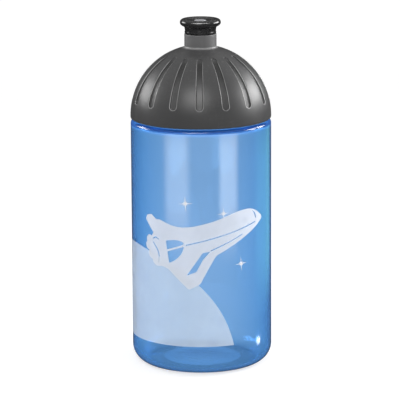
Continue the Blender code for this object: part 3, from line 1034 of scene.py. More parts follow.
@dataclass
class BottleBody:
    """The clear bottle: rounded heel, foot ring with a push-up, straight wall, shoulder and threaded neck."""

    radius: float
    neck_top: float
    wall: float = 1.7 * MM
    film_room: float = 0.06 * MM
    heel: float = 9.5 * MM
    foot_inner: float = 20.5 * MM
    push_up: float = 0.9 * MM
    floor: float = 1.8 * MM
    shoulder_z: float = 129.7 * MM
    shoulder_round: float = 2.0 * MM
    inner_round: float = 1.0 * MM
    neck_radius: float = 31.0 * MM
    neck_wall: float = 1.5 * MM
    thread_height: float = 1.9 * MM
    thread_z: float = 133.0 * MM
    thread_turns: float = 1.5
    steps: int = 288

    @property
    def skin(self) -> float:
        """The outside radius, which leaves room for the print's film."""
        return self.radius - self.film_room

    def outline(self) -> Outline:
        """The wall, from the middle of the underside round to the middle of the floor inside.

        Returns:
            The outline.
        """
        skin = self.skin
        heel_centre = (skin - self.heel, self.heel)
        inner = skin - self.wall
        bore = self.neck_radius - self.neck_wall
        under = self.shoulder_z - self.wall
        shape = Outline()
        for i in range(21):
            shape.to(self.foot_inner * i / 20, self.floor_rise(i / 20))
        shape.arc(heel_centre, self.heel, -90, 0, 28)
        for i in range(1, 12):
            shape.to(skin, self.heel + (self.shoulder_z - self.shoulder_round - self.heel) * i / 12)
        corner = (skin - self.shoulder_round, self.shoulder_z - self.shoulder_round)
        shape.arc(corner, self.shoulder_round, 0, 90, 12)
        shape.arc((self.neck_radius + 0.8 * MM, self.shoulder_z + 0.8 * MM), 0.8 * MM, 270, 180, 6)
        shape.arc((self.neck_radius - 0.5 * MM, self.neck_top - 0.5 * MM), 0.5 * MM, 0, 90, 6)
        shape.arc((bore + 0.4 * MM, self.neck_top - 0.4 * MM), 0.4 * MM, 90, 180, 5)
        shape.arc((bore + 1.0 * MM, under + 1.0 * MM), 1.0 * MM, 180, 270, 6)
        shape.arc((inner - self.inner_round, under - self.inner_round), self.inner_round, 90, 0, 8)
        for i in range(1, 8):
            shape.to(inner, under - (under - self.heel) * i / 8)
        shape.arc(heel_centre, self.heel - self.wall, 0, -86, 22)
        for i in range(20, -1, -1):
            shape.to(self.foot_inner * i / 20, self.floor + self.floor_rise(i / 20))
        return shape

    def floor_rise(self, share: float) -> float:
        """The push-up's height at a share of the foot ring's inner radius."""
        return self.push_up * (0.5 + 0.5 * math.cos(math.pi * share))

    def build(self, finishes: Finishes) -> bpy.types.Object:
        """Turns the wall, adds the neck's thread and dresses the bottle.

        Args:
            finishes: the shared finishes.

        Returns:
            The bottle.
        """
        bottle = turn("clear_bottle", self.outline(), self.steps, Filling.OPEN)
        thread = ScrewThread(
            "neck_thread", self.neck_radius, self.thread_height, self.thread_z, 0.0, self.thread_turns
        ).build()
        combine(bottle, thread, Cut.ADD)
        shade(bottle, 38.0)
        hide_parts("bottle_body")
        dress(bottle, finishes.bottle, "bottle")
        return bottle


@dataclass
class GrooveCutter:
    """One groove of the dome as a flat plug with a rounded lip and floor edge, bent onto the dome."""

    dome_radius: float
    dome_centre_z: float
    foot_angle: float = math.radians(12.0)
    top_angle: float = math.radians(61.0)
    azimuth: float = math.radians(-91.2)
    foot_width: float = 4.4 * MM
    top_width: float = 3.5 * MM
    rows: int = 44

    @property
    def length(self) -> float:
        """The way along the dome from the foot's round centre to the far round centre."""
        run = (self.top_angle - self.foot_angle) * self.dome_radius
        return run - (self.foot_width + self.top_width) / 2

    def build(self) -> bpy.types.Object:
        """Models the plug flat, then bends it onto the dome.

        Returns:
            The plug.
        """
        object_mode()
        half = self.foot_width / 2
        bpy.ops.mesh.primitive_circle_add(
            vertices=40, radius=half, fill_type="NGON", location=(0.0, 0.0, 0.0)
        )
        plug = new_primitive("groove_plug")
        edit(plug)
        select_where("VERT", lambda co: co.y > 0.01 * MM)
        bpy.ops.transform.resize(value=(self.top_width / self.foot_width, 1.0, 1.0))
        bpy.ops.transform.translate(value=(0.0, self.length, 0.0))
        for i in range(1, self.rows):
            bpy.ops.mesh.select_all(action="SELECT")
            line = self.length * i / self.rows
            bpy.ops.mesh.bisect(plane_co=(0.0, line, 0.0), plane_no=(0.0, 1.0, 0.0))
        bpy.ops.mesh.select_all(action="SELECT")
        bpy.ops.mesh.extrude_region_move(TRANSFORM_OT_translate={"value": (0.0, 0.0, 1.2 * MM)})
        select_where("FACE", lambda co: co.z < 0.01 * MM)
        for inward, down in ((0.10, 0.02), (0.11, 0.05), (0.10, 0.09), (0.06, 0.12), (0.03, 0.34)):
            bpy.ops.mesh.inset(thickness=inward * MM, depth=down * MM)
        for inward, down in ((0.05, 0.16), (0.10, 0.12), (0.14, 0.06), (0.2, 0.02)):
            bpy.ops.mesh.inset(thickness=inward * MM, depth=down * MM)
        tidy_mesh()
        move_points(plug, self.bend)
        return plug

    def bend(self, flat: Vector) -> Vector:
        """Puts a point of the flat plug on the dome, its depth fading out towards the top.

        Args:
            flat: a point of the flat plug.

        Returns:
            Its place on the dome.
        """
        along = max(0.0, min(1.0, flat.y / self.length))
        lift = flat.z
        if lift < 0:
            lift = lift * max(0.42, (1.0 - along) ** 0.5)
        angle = self.foot_angle + (self.foot_width / 2 + flat.y) / self.dome_radius
        across = flat.x / self.dome_radius
        reach = self.dome_radius + lift
        outward = Vector((math.cos(self.azimuth), math.sin(self.azimuth), 0.0))
        sideways = Vector((-math.sin(self.azimuth), math.cos(self.azimuth), 0.0))
        radial = outward * math.cos(angle) + Vector((0.0, 0.0, math.sin(angle)))
        place = (radial * math.cos(across) + sideways * math.sin(across)) * reach
        return place + Vector((0.0, 0.0, self.dome_centre_z))


@dataclass
class DomeCap:
    """The grey screw cap: grooved dome, chimney, inside thread, plug skirt and seal seat."""

    radius: float
    edge_z: float
    top_z: float
    dome_centre_z: float = 131.7 * MM
    dome_wall: float = 2.0 * MM
    edge_round: float = 0.9 * MM
    bore: float = 33.5 * MM
    bore_top_z: float = 141.0 * MM
    seat_z: float = 147.1 * MM
    plug_outer: float = 29.1 * MM
    plug_wall: float = 1.5 * MM
    plug_bottom_z: float = 139.0 * MM
    chimney: float = 8.4 * MM
    chimney_fillet: float = 0.85 * MM
    chimney_bore: float = 7.0 * MM
    chimney_bottom_z: float = 157.7 * MM
    snap_lip: float = 6.4 * MM
    top_lip: float = 6.35 * MM
    pocket_top_z: float = 162.3 * MM
    groove_count: int = 16
    thread_height: float = 1.9 * MM
    thread_z: float = 130.8 * MM
    thread_start: float = 0.25
    thread_turns: float = 1.25
    steps: int = 288

    def on_dome(self, radius: float, reach: float) -> float:
        """The angle in degrees at which a dome of this radius is this far from the axis."""
        return math.degrees(math.acos(reach / radius))

    def at_height(self, radius: float, height: float) -> float:
        """The angle in degrees at which a dome of this radius has this height."""
        return math.degrees(math.asin((height - self.dome_centre_z) / radius))

    def outline(self) -> Outline:
        """The cap's wall as a loop, from the chimney's rim down the outside and up the inside.

        Returns:
            The outline.
        """
        centre = (0.0, self.dome_centre_z)
        inside = self.radius - self.dome_wall
        plug_inner = self.plug_outer - self.plug_wall
        fillet = self.chimney_fillet
        foot = self.chimney + fillet
        foot_angle = self.on_dome(self.radius, foot)
        foot_z = self.dome_centre_z + self.radius * math.sin(math.radians(foot_angle))
        tube = self.chimney + 0.2 * MM
        shape = Outline()
        shape.arc((self.chimney - 0.35 * MM, self.top_z - 0.35 * MM), 0.35 * MM, 90, 0, 6)
        shape.to(self.chimney - 0.02 * MM, self.top_z - 2.0 * MM)
        shape.to(self.chimney, (self.top_z + foot_z) / 2)
        shape.arc((foot, foot_z + fillet), fillet, 180, 258, 9)
        shape.arc(centre, self.radius, foot_angle - 0.4, 0, 72)
        shape.arc((self.radius - self.edge_round, self.edge_z + self.edge_round), self.edge_round, 0, -90, 9)
        shape.to(self.bore + 0.7 * MM, self.edge_z)
        shape.arc((self.bore + 0.5 * MM, self.edge_z + 0.5 * MM), 0.5 * MM, 270, 180, 4)
        shape.to(self.bore, self.bore_top_z)
        shape.arc(
            centre,
            inside,
            self.at_height(inside, self.bore_top_z + 0.1 * MM),
            self.at_height(inside, self.seat_z),
            5,
        )
        shape.to(self.plug_outer + 0.3 * MM, self.seat_z)
        shape.arc((self.plug_outer + 0.2 * MM, self.seat_z - 0.2 * MM), 0.2 * MM, 90, 180, 3)
        low = self.plug_bottom_z
        shape.to(self.plug_outer, low + 1.2 * MM)
        shape.arc((self.plug_outer - 0.6 * MM, low + 0.5 * MM), 0.5 * MM, 0, -90, 4)
        shape.arc((plug_inner + 0.5 * MM, low + 0.5 * MM), 0.5 * MM, -90, -180, 4)
        shape.arc(
            centre, inside, self.on_dome(inside, plug_inner), self.on_dome(inside, tube + 0.5 * MM), 16
        )
        tube_top = self.dome_centre_z + math.sqrt(inside**2 - tube**2)
        shape.to(tube, tube_top - 0.5 * MM).to(tube, self.chimney_bottom_z + 0.3 * MM)
        shape.to(tube - 0.3 * MM, self.chimney_bottom_z)
        pocket_floor = self.chimney_bottom_z + 0.5 * MM
        ledge_top = self.pocket_top_z + 0.5 * MM
        shape.to(self.snap_lip + 0.2 * MM, self.chimney_bottom_z).to(self.snap_lip, pocket_floor - 0.25 * MM)
        shape.to(self.snap_lip, pocket_floor).to(self.chimney_bore, pocket_floor)
        shape.to(self.chimney_bore, self.pocket_top_z).to(self.snap_lip, self.pocket_top_z)
        shape.to(self.snap_lip, ledge_top).to(self.chimney_bore, ledge_top)
        shape.to(self.chimney_bore, self.top_z - 2.0 * MM).to(self.top_lip, self.top_z - 1.9 * MM)
        shape.to(self.top_lip, self.top_z - 0.3 * MM).to(self.top_lip + 0.3 * MM, self.top_z)
        return shape

    def build(self, finishes: Finishes) -> bpy.types.Object:
        """Turns the wall, cuts the grooves, adds the thread and dresses the cap.

        Args:
            finishes: the shared finishes.

        Returns:
            The cap.
        """
        cap = turn("dome_cap", self.outline(), self.steps, Filling.LOOP)
        plug = GrooveCutter(self.radius, self.dome_centre_z).build()
        combine(cap, copy_round(plug, self.groove_count), Cut.REMOVE)
        thread = ScrewThread(
            "cap_thread",
            self.bore,
            -self.thread_height,
            self.thread_z,
            self.thread_start,
            self.thread_turns,
        ).build()
        combine(cap, thread, Cut.ADD)
        shade(cap, 24.0)
        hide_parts("screw_cap")
        dress(cap, finishes.cap, "cap")
        return cap


@dataclass
class CapSeal:
    """The flat silicone ring above the neck's rim, with two raised sealing beads on its underside."""

    outer: float
    low_z: float
    high_z: float
    inner: float = 29.4 * MM
    edge: float = 0.35 * MM
    bead: float = 0.22 * MM
    bead_shares: Point = (0.42, 0.68)
    steps: int = 240

    def build(self, finishes: Finishes) -> bpy.types.Object:
        """Turns the ring and dresses it.

        Args:
            finishes: the shared finishes.

        Returns:
            The ring.
        """
        edge, bead = self.edge, self.bead
        floor = self.low_z + bead
        width = self.outer - self.inner
        shape = Outline()
        shape.arc((self.inner + edge, floor + edge), edge, 180, 270, 4)
        for share in self.bead_shares:
            shape.arc((self.inner + width * share, floor), bead, 180, 360, 6)
        shape.arc((self.outer - edge, floor + edge), edge, 270, 360, 4)
        shape.arc((self.outer - edge, self.high_z - edge), edge, 0, 90, 4)
        shape.arc((self.inner + edge, self.high_z - edge), edge, 90, 180, 4)
        ring = turn("flat_seal", shape, self.steps, Filling.LOOP)
        shade(ring)
        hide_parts("cap_seal")
        dress(ring, finishes.silicone, "seal")
        return ring


@dataclass
class SpoutInsert:
    """The snap-in ring on three spokes, with the pin whose head closes the mouthpiece."""

    outer: float
    low_z: float
    top_z: float
    height: float = 3.5 * MM
    wall: float = 1.4 * MM
    stem: float = 2.0 * MM
    head: float = 3.1 * MM
    head_z: float = 178.6 * MM
    spokes: int = 3
    first_spoke: float = math.radians(60.0)
    spoke_width: float = 1.6 * MM
    spoke_height: float = 2.0 * MM
    steps: int = 96

    def pin_outline(self) -> Outline:
        """The pin: stem, cone, and a head with a faint dimple.

        Returns:
            The outline.
        """
        shape = Outline()
        shape.to(0.0, self.low_z).arc((self.stem - 0.3 * MM, self.low_z + 0.3 * MM), 0.3 * MM, -90, 0, 4)
        shape.to(self.stem, self.head_z - (self.head - self.stem) - 0.3 * MM)
        shape.to(self.stem + 0.1 * MM, self.head_z - (self.head - self.stem))
        shape.to(self.head - 0.1 * MM, self.head_z - 0.1 * MM).to(self.head, self.head_z + 0.2 * MM)
        shape.arc((self.head - 0.35 * MM, self.top_z - 0.35 * MM), 0.35 * MM, 0, 90, 7)
        shape.to(1.5 * MM, self.top_z - 0.02 * MM).to(0.7 * MM, self.top_z - 0.04 * MM)
        shape.to(0.0, self.top_z - 0.04 * MM)
        return shape

    def ring_outline(self) -> Outline:
        """The ring that snaps into the chimney, with a lead-in below.

        Returns:
            The outline.
        """
        inner = self.outer - self.wall
        shape = Outline()
        shape.to(inner + 0.2 * MM, self.low_z).to(self.outer - 0.4 * MM, self.low_z)
        shape.to(self.outer, self.low_z + 0.5 * MM).to(self.outer, self.low_z + self.height - 0.2 * MM)
        shape.to(self.outer - 0.2 * MM, self.low_z + self.height)
        shape.to(inner + 0.2 * MM, self.low_z + self.height)
        shape.to(inner, self.low_z + self.height - 0.2 * MM).to(inner, self.low_z + 0.2 * MM)
        return shape

    def spoke(self) -> bpy.types.Object:
        """One bar from inside the stem to inside the ring's wall, with rounded edges.

        Returns:
            The bar.
        """
        start = self.stem / 2
        end = self.outer - self.wall / 2
        middle = Vector(((start + end) / 2, 0.0, self.low_z + 0.3 * MM + self.spoke_height / 2))
        bpy.ops.mesh.primitive_cube_add(size=1.0, location=middle)
        bar = new_primitive("insert_spoke")
        bar.scale = (end - start, self.spoke_width, self.spoke_height)
        bpy.ops.object.transform_apply(location=True, scale=True)
        edit(bar)
        bpy.ops.mesh.bevel(offset=0.25 * MM, segments=3, affect="EDGES")
        tidy_mesh()
        return bar

    def build(self, finishes: Finishes) -> bpy.types.Object:
        """Turns the pin and ring, joins them with the spokes and dresses the piece.

        Args:
            finishes: the shared finishes.

        Returns:
            The insert.
        """
        pin = turn("closing_pin", self.pin_outline(), self.steps, Filling.OPEN)
        first = self.spoke()
        turned = Matrix.Rotation(self.first_spoke, 3, "Z")
        move_points(first, lambda co: turned @ co)
        combine(pin, copy_round(first, self.spokes), Cut.ADD)
        combine(pin, turn("insert_ring", self.ring_outline(), self.steps, Filling.LOOP), Cut.ADD)
        shade(pin)
        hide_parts("spout_insert")
        dress(pin, finishes.pin, "cap")
        return pin


@dataclass
class Mouthpiece:
    """The black push-pull spout: dished flange, collar, and a tube with a ring groove."""

    collar_bottom_z: float
    bottom_z: float
    flange: float
    rim_z: float
    bead_top_z: float = 166.7 * MM
    collar: float = 8.25 * MM
    waist: float = 8.1 * MM
    waist_top_z: float = 176.4 * MM
    throat: float = 1.2 * MM
    throat_z: float = 177.3 * MM
    cone_z: float = 177.5 * MM
    flange_round: float = 1.8 * MM
    hole: float = 3.4 * MM
    dish_z: float = 181.3 * MM
    bore: float = 4.4 * MM
    tube: float = 6.0 * MM
    bead: float = 6.65 * MM
    bead_height: float = 0.8 * MM
    groove: float = 5.2 * MM
    steps: int = 160

    def outline(self) -> Outline:
        """The wall as a loop, from the hole over the flange and down the tube and up the bore.

        Returns:
            The outline.
        """
        centre = (self.flange - self.flange_round, self.rim_z - self.flange_round)
        shape = Outline()
        shape.arc((self.hole + 0.2 * MM, self.dish_z - 0.2 * MM), 0.2 * MM, 180, 90, 4)
        shape.to(5.0 * MM, self.dish_z + 0.02 * MM).to(6.0 * MM, self.dish_z + 0.14 * MM)
        shape.to(7.0 * MM, self.dish_z + 0.38 * MM).to(7.9 * MM, self.rim_z - 0.2 * MM)
        shape.arc(centre, self.flange_round, 97, -58, 26)
        shape.arc((self.collar + self.throat, self.throat_z), self.throat, 112, 180, 8)
        shape.to(self.waist, self.waist_top_z).to(self.waist, self.waist_top_z - 0.5 * MM)
        shape.to(self.collar, self.collar_bottom_z + 0.7 * MM)
        shape.arc((self.collar - 0.25 * MM, self.collar_bottom_z + 0.25 * MM), 0.25 * MM, 0, -90, 4)
        shape.to(self.tube + 0.3 * MM, self.collar_bottom_z)
        shape.to(self.tube, self.collar_bottom_z - 0.3 * MM).to(self.tube, self.bead_top_z + 0.3 * MM)
        shape.to(self.bead, self.bead_top_z).to(self.bead, self.bead_top_z - self.bead_height)
        shape.to(self.groove, self.bead_top_z - self.bead_height)
        shape.to(self.groove, self.bottom_z + self.bead_height)
        shape.to(self.bead, self.bottom_z + self.bead_height)
        shape.to(self.bead, self.bottom_z + 0.3 * MM).to(self.bead - 0.3 * MM, self.bottom_z)
        shape.to(self.bore, self.bottom_z).to(self.bore, self.cone_z)
        shape.to(self.hole, self.cone_z + 1.5 * MM)
        return shape

    def build(self, finishes: Finishes) -> bpy.types.Object:
        """Turns the wall and dresses it.

        Args:
            finishes: the shared finishes.

        Returns:
            The mouthpiece.
        """
        spout = turn("pull_spout", self.outline(), self.steps, Filling.LOOP)
        shade(spout)
        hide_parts("mouthpiece")
        dress(spout, finishes.mouth, "mouthpiece")
        return spout


@dataclass
class RingSeal:
    """The round silicone ring on the mouthpiece's tube."""

    centre_r: float
    centre_z: float
    radius: float
    steps: int = 120

    def build(self, finishes: Finishes) -> bpy.types.Object:
        """Turns the ring and dresses it.

        Args:
            finishes: the shared finishes.

        Returns:
            The ring.
        """
        shape = Outline().arc((self.centre_r, self.centre_z), self.radius, 0, 342, 19)
        ring = turn("spout_ring_seal", shape, self.steps, Filling.LOOP)
        shade(ring)
        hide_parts("mouthpiece_o_ring")
        dress(ring, finishes.silicone, "mouthpiece")
        return ring


# ---------------------------------------------------------------- print


@dataclass
class PrintedFilm:
    """A flat ink shape that is wrapped round the bottle's wall as a thin closed film.

    Its outlines are in millimetres: the way round the bottle from its front, positive to the
    right, and the height above the table.
    """

    name: str
    loops: list[list[Point]]
    skin: float
    lift: float = 0.012 * MM
    thickness: float = 0.03 * MM
    strip: float = 1.25 * MM

    def build(self, material: bpy.types.Material) -> bpy.types.Object:
        """Fills the outlines, cuts them into strips, thickens and wraps them, and dresses the film.

        Args:
            material: the ink.

        Returns:
            The film.
        """
        object_mode()
        curve = bpy.data.curves.new(self.name, "CURVE")
        curve.dimensions = "2D"
        curve.fill_mode = "BOTH"
        for loop in self.loops:
            spline = curve.splines.new("POLY")
            spline.points.add(len(loop) - 1)
            for point, (along, height) in zip(spline.points, loop):
                point.co = (along * MM, height * MM, 0.0, 1.0)
            spline.use_cyclic_u = True
        film = bpy.data.objects.new(self.name, curve)
        bpy.context.scene.collection.objects.link(film)
        pick(film)
        bpy.ops.object.convert(target="MESH")
        film = bpy.context.view_layer.objects.active
        edit(film)
        bpy.ops.mesh.remove_doubles(threshold=MERGE)
        spans = [along for loop in self.loops for along, _ in loop]
        line = math.floor(min(spans) * MM / self.strip) * self.strip
        while line < max(spans) * MM:
            bpy.ops.mesh.select_all(action="SELECT")
            bpy.ops.mesh.bisect(plane_co=(line, 0.0, 0.0), plane_no=(1.0, 0.0, 0.0))
            line += self.strip
        bpy.ops.mesh.select_all(action="SELECT")
        bpy.ops.mesh.extrude_region_move(
            TRANSFORM_OT_translate={"value": (0.0, 0.0, self.thickness)}
        )
        tidy_mesh()
        move_points(film, self.wrap)
        edit(film)
        tidy_mesh()
        film.name = self.name
        shade(film)
        dress(film, material, "bottle")
        return film

    def wrap(self, flat: Vector) -> Vector:
        """Puts a point of the flat film round the bottle.

        Args:
            flat: a point of the flat film.

        Returns:
            Its place round the bottle.
        """
        reach = self.skin + self.lift + flat.z
        angle = flat.x / self.skin
        return Vector((reach * math.sin(angle), -reach * math.cos(angle), flat.y))


@dataclass
class SpacePrint:
    """A generic night-sky print: a planet's edge, a winged spacecraft and three stars."""

    skin: float
    low_edge: float = 16.0
    planet_centre: Point = (-46.7, 1.3)
    planet_radius: float = 65.5
    panel_edge: float = -62.0
    craft_tail: Point = (-25.0, 68.0)
    craft_tilt: float = math.radians(13.0)
    stars: tuple[Corner, ...] = ((-8.3, 91.7, 4.2), (11.6, 86.2, 3.6), (21.6, 58.9, 4.0))
    ray_lengths: tuple[float, ...] = (1.0, 0.17, 0.42, 0.17)
    star_tilt: float = math.radians(4.0)

    def planet(self) -> list[Point]:
        """The part of the planet's disc that lies inside the print's straight edges.

        Returns:
            The planet's loop.
        """
        across, height = self.planet_centre
        start = math.degrees(math.asin((self.low_edge - height) / self.planet_radius))
        end = math.degrees(math.acos((self.panel_edge - across) / self.planet_radius))
        edge = Outline().to(self.panel_edge, self.low_edge)
        return edge.arc(self.planet_centre, self.planet_radius, start, end, 96).points

    def place(self, loop: list[Point]) -> list[Point]:
        """Turns a loop from the craft's own axes to the bottle's wall.

        Args:
            loop: points in the craft's own axes.

        Returns:
            The same points on the wall.
        """
        cos, sin = math.cos(self.craft_tilt), math.sin(self.craft_tilt)
        left, low = self.craft_tail
        return [(left + x * cos - y * sin, low + x * sin + y * cos) for x, y in loop]

    @staticmethod
    def rounded(corners: list[Corner]) -> list[Point]:
        """Rounds the corners of a polygon.

        Args:
            corners: x, y and the corner's rounding length for each corner.

        Returns:
            The outline's points.
        """
        points: list[Point] = []
        for i, (x, y, cut) in enumerate(corners):
            here = Vector((x, y))
            before = Vector(corners[i - 1][:2]) - here
            after = Vector(corners[(i + 1) % len(corners)][:2]) - here
            if cut <= 0:
                points.append((x, y))
                continue
            start = here + before.normalized() * min(cut, before.length * 0.48)
            end = here + after.normalized() * min(cut, after.length * 0.48)
            for j in range(7):
                t = j / 6
                spot = start * (1 - t) ** 2 + here * 2 * t * (1 - t) + end * t**2
                points.append((spot.x, spot.y))
        return points

    def craft(self) -> list[list[Point]]:
        """The craft's silhouette and the clear shapes left open in it, nose to the right.

        Each corner is x, y and the length over which it is rounded.

        Returns:
            The silhouette, then the shapes that are left open in it.
        """
        hull = [
            (-0.6, 7.2, 0.5),
            (-4.6, 14.8, 0.8),
            (-3.2, 16.9, 0.8),
            (0.2, 16.8, 0.6),
            (3.0, 13.8, 0.4),
            (5.4, 13.4, 0.8),
            (10.2, 10.2, 2.0),
            (15.4, 7.8, 2.6),
            (22.0, 6.7, 3.0),
            (36.0, 6.9, 6.0),
            (47.0, 8.6, 6.0),
            (57.6, 6.8, 5.0),
            (64.6, -1.2, 3.2),
            (55.0, -4.6, 4.0),
            (43.6, -7.6, 3.0),
            (30.8, -11.0, 1.6),
            (24.6, -17.6, 1.2),
            (19.4, -23.6, 0.8),
            (13.0, -25.2, 0.9),
            (4.4, -12.6, 1.0),
            (1.2, -10.6, 0.5),
            (-2.6, -10.2, 1.2),
            (-4.6, -7.8, 0.4),
            (-4.3, -6.6, 0.3),
            (-6.6, -4.9, 0.9),
            (-7.0, -2.6, 0.4),
            (-5.8, -1.6, 0.3),
            (-7.6, -0.3, 0.8),
            (-7.9, 2.3, 0.7),
            (-6.3, 3.2, 0.3),
            (-6.6, 5.0, 0.8),
            (-4.2, 6.7, 0.8),
            (-2.2, 5.8, 0.3),
        ]
        doors = [(16.8, -1.7, 0.0), (57.6, -1.0, 0.0), (57.8, -1.5, 0.0), (16.8, -2.25, 0.0)]
        hatch = [(52.2, -0.4, 0.0), (52.8, -0.4, 0.0), (52.8, -0.8, 0.0), (52.2, -0.8, 0.0)]
        upper_pod = [(6.0, -2.5, 0.3), (6.4, 2.2, 0.8), (12.8, 1.8, 2.6), (16.2, -0.6, 1.4)]
        upper_pod += [(15.4, -1.5, 0.8)]
        lower_pod = [(5.6, -9.6, 0.6), (6.0, -3.5, 0.3), (15.6, -2.5, 0.6), (14.2, -5.4, 1.8)]
        lower_pod += [(10.2, -8.4, 2.2)]
        slot = [(13.6, -17.6, 0.2), (24.4, -7.8, 0.4), (28.4, -8.0, 0.3), (23.6, -11.4, 1.0)]
        slot += [(19.0, -16.8, 0.6)]
        trail = [(28.6, -7.4, 0.0), (47.6, -4.2, 0.0), (47.6, -4.65, 0.0), (29.0, -7.95, 0.0)]
        window = [(56.6, 5.6, 0.2), (58.6, 3.4, 1.2), (58.9, 0.4, 0.2), (58.3, 0.6, 0.2)]
        window += [(58.0, 3.2, 1.2)]
        bell = [(-1.0, -8.6, 0.1), (0.6, -3.4, 4.0), (-2.2, 2.4, 0.1)]
        bell += [(-1.7, 2.5, 0.1), (1.2, -3.4, 4.0), (-0.5, -8.7, 0.1)]
        nozzle = [(-1.8, 4.4, 0.1), (0.4, 5.2, 0.9), (2.4, 3.4, 0.1)]
        nozzle += [(2.1, 3.1, 0.1), (0.4, 4.5, 0.9), (-1.7, 3.9, 0.1)]
        shapes = (hull, doors, hatch, upper_pod, lower_pod, slot, trail, window, bell, nozzle)
        return [self.place(self.rounded(shape)) for shape in shapes]

    def star(self, across: float, height: float, size: float) -> list[Point]:
        """A twinkle: four long thin rays and four short ones between them.

        Args:
            across: the middle's place round the wall.
            height: the middle's height.
            size: the length of the long rays.

        Returns:
            The star's loop.
        """
        loop = []
        for i in range(16):
            angle = math.tau * i / 16 + self.star_tilt
            reach = size * self.ray_lengths[i % 4]
            loop.append((across + reach * math.cos(angle), height + reach * math.sin(angle)))
        return loop

    def build(self, finishes: Finishes) -> None:
        """Makes the films of the planet, the craft and the stars.

        Args:
            finishes: the shared finishes.
        """
        PrintedFilm("planet_print", [self.planet()], self.skin).build(finishes.planet_ink)
        PrintedFilm("craft_print", self.craft(), self.skin, lift=0.016 * MM).build(finishes.craft_ink)
        for i, star in enumerate(self.stars):
            film = PrintedFilm(f"star_print_{i + 1}", [self.star(*star)], self.skin, strip=0.8 * MM)
            film.build(finishes.star_ink)


# ---------------------------------------------------------------- studio


@dataclass
class Softbox:
    """A rectangular studio light whose glow fades towards its edges."""

    name: str
    azimuth: float
    elevation: float
    distance: float
    size: tuple[float, float]
    glow: float
    aim_z: float
    fade: float = 0.3
    colour: Colour = (1.0, 1.0, 1.0)

    def build(self, only: bpy.types.Collection | None = None) -> bpy.types.Object:
        """Places the light and aims it; azimuth 0 is the camera's side and 90 the right.

        Args:
            only: the pieces it lights; all of them when it is left out.

        Returns:
            The light.
        """
        angle, rise = math.radians(self.azimuth), math.radians(self.elevation)
        level = Vector((math.sin(angle), -math.cos(angle), 0.0))
        away = level * math.cos(rise) + Vector((0.0, 0.0, math.sin(rise)))
        target = Vector((0.0, 0.0, self.aim_z))
        bpy.ops.object.light_add(type="AREA", location=target + away * self.distance)
        lamp = bpy.context.view_layer.objects.active
        lamp.name = self.name
        lamp.data.shape = "RECTANGLE"
        lamp.data.color = self.colour
        if only:
            lamp.light_linking.receiver_collection = only
        lamp.data.size, lamp.data.size_y = self.size
        lamp.data.energy = self.glow * math.pi * self.size[0] * self.size[1]
        lamp.visible_camera = False
        lamp.rotation_mode = "QUATERNION"
        lamp.rotation_quaternion = (-away).to_track_quat("-Z", "Y")
        self._fade_edges(lamp.data)
        return lamp

    def _fade_edges(self, light: bpy.types.Light) -> None:
        """Lets the glow fall smoothly to nothing at each edge of the light.

        Args:
            light: the light whose edges fade.
        """
        light.use_nodes = True
        bench = Bench(light.node_tree)
        spot = bench.node("ShaderNodeNewGeometry").outputs["Parametric"]
        parts = bench.node("ShaderNodeSeparateXYZ", Vector=spot)
        strength: object = 1.0
        for axis in ("X", "Y"):
            for low, high in ((0.0, self.fade), (1.0, 1.0 - self.fade)):
                edge = bench.node(
                    "ShaderNodeMapRange",
                    {"interpolation_type": "SMOOTHSTEP"},
                    Value=parts.outputs[axis],
                    From_Min=low,
                    From_Max=high,
                )
                strength = bench.math("MULTIPLY", edge.outputs["Result"], strength)
        bench.set(light.node_tree.nodes["Emission"].inputs["Strength"], strength)


def gathered(name: str, pieces: list[bpy.types.Object]) -> bpy.types.Collection:
    """Gathers pieces in a collection that isn't shown by itself.

    Args:
        name: the collection's name.
        pieces: the pieces to gather.

    Returns:
        The collection.
    """
    collection = bpy.data.collections.new(name)
    for piece in pieces:
        collection.objects.link(piece)
    return collection


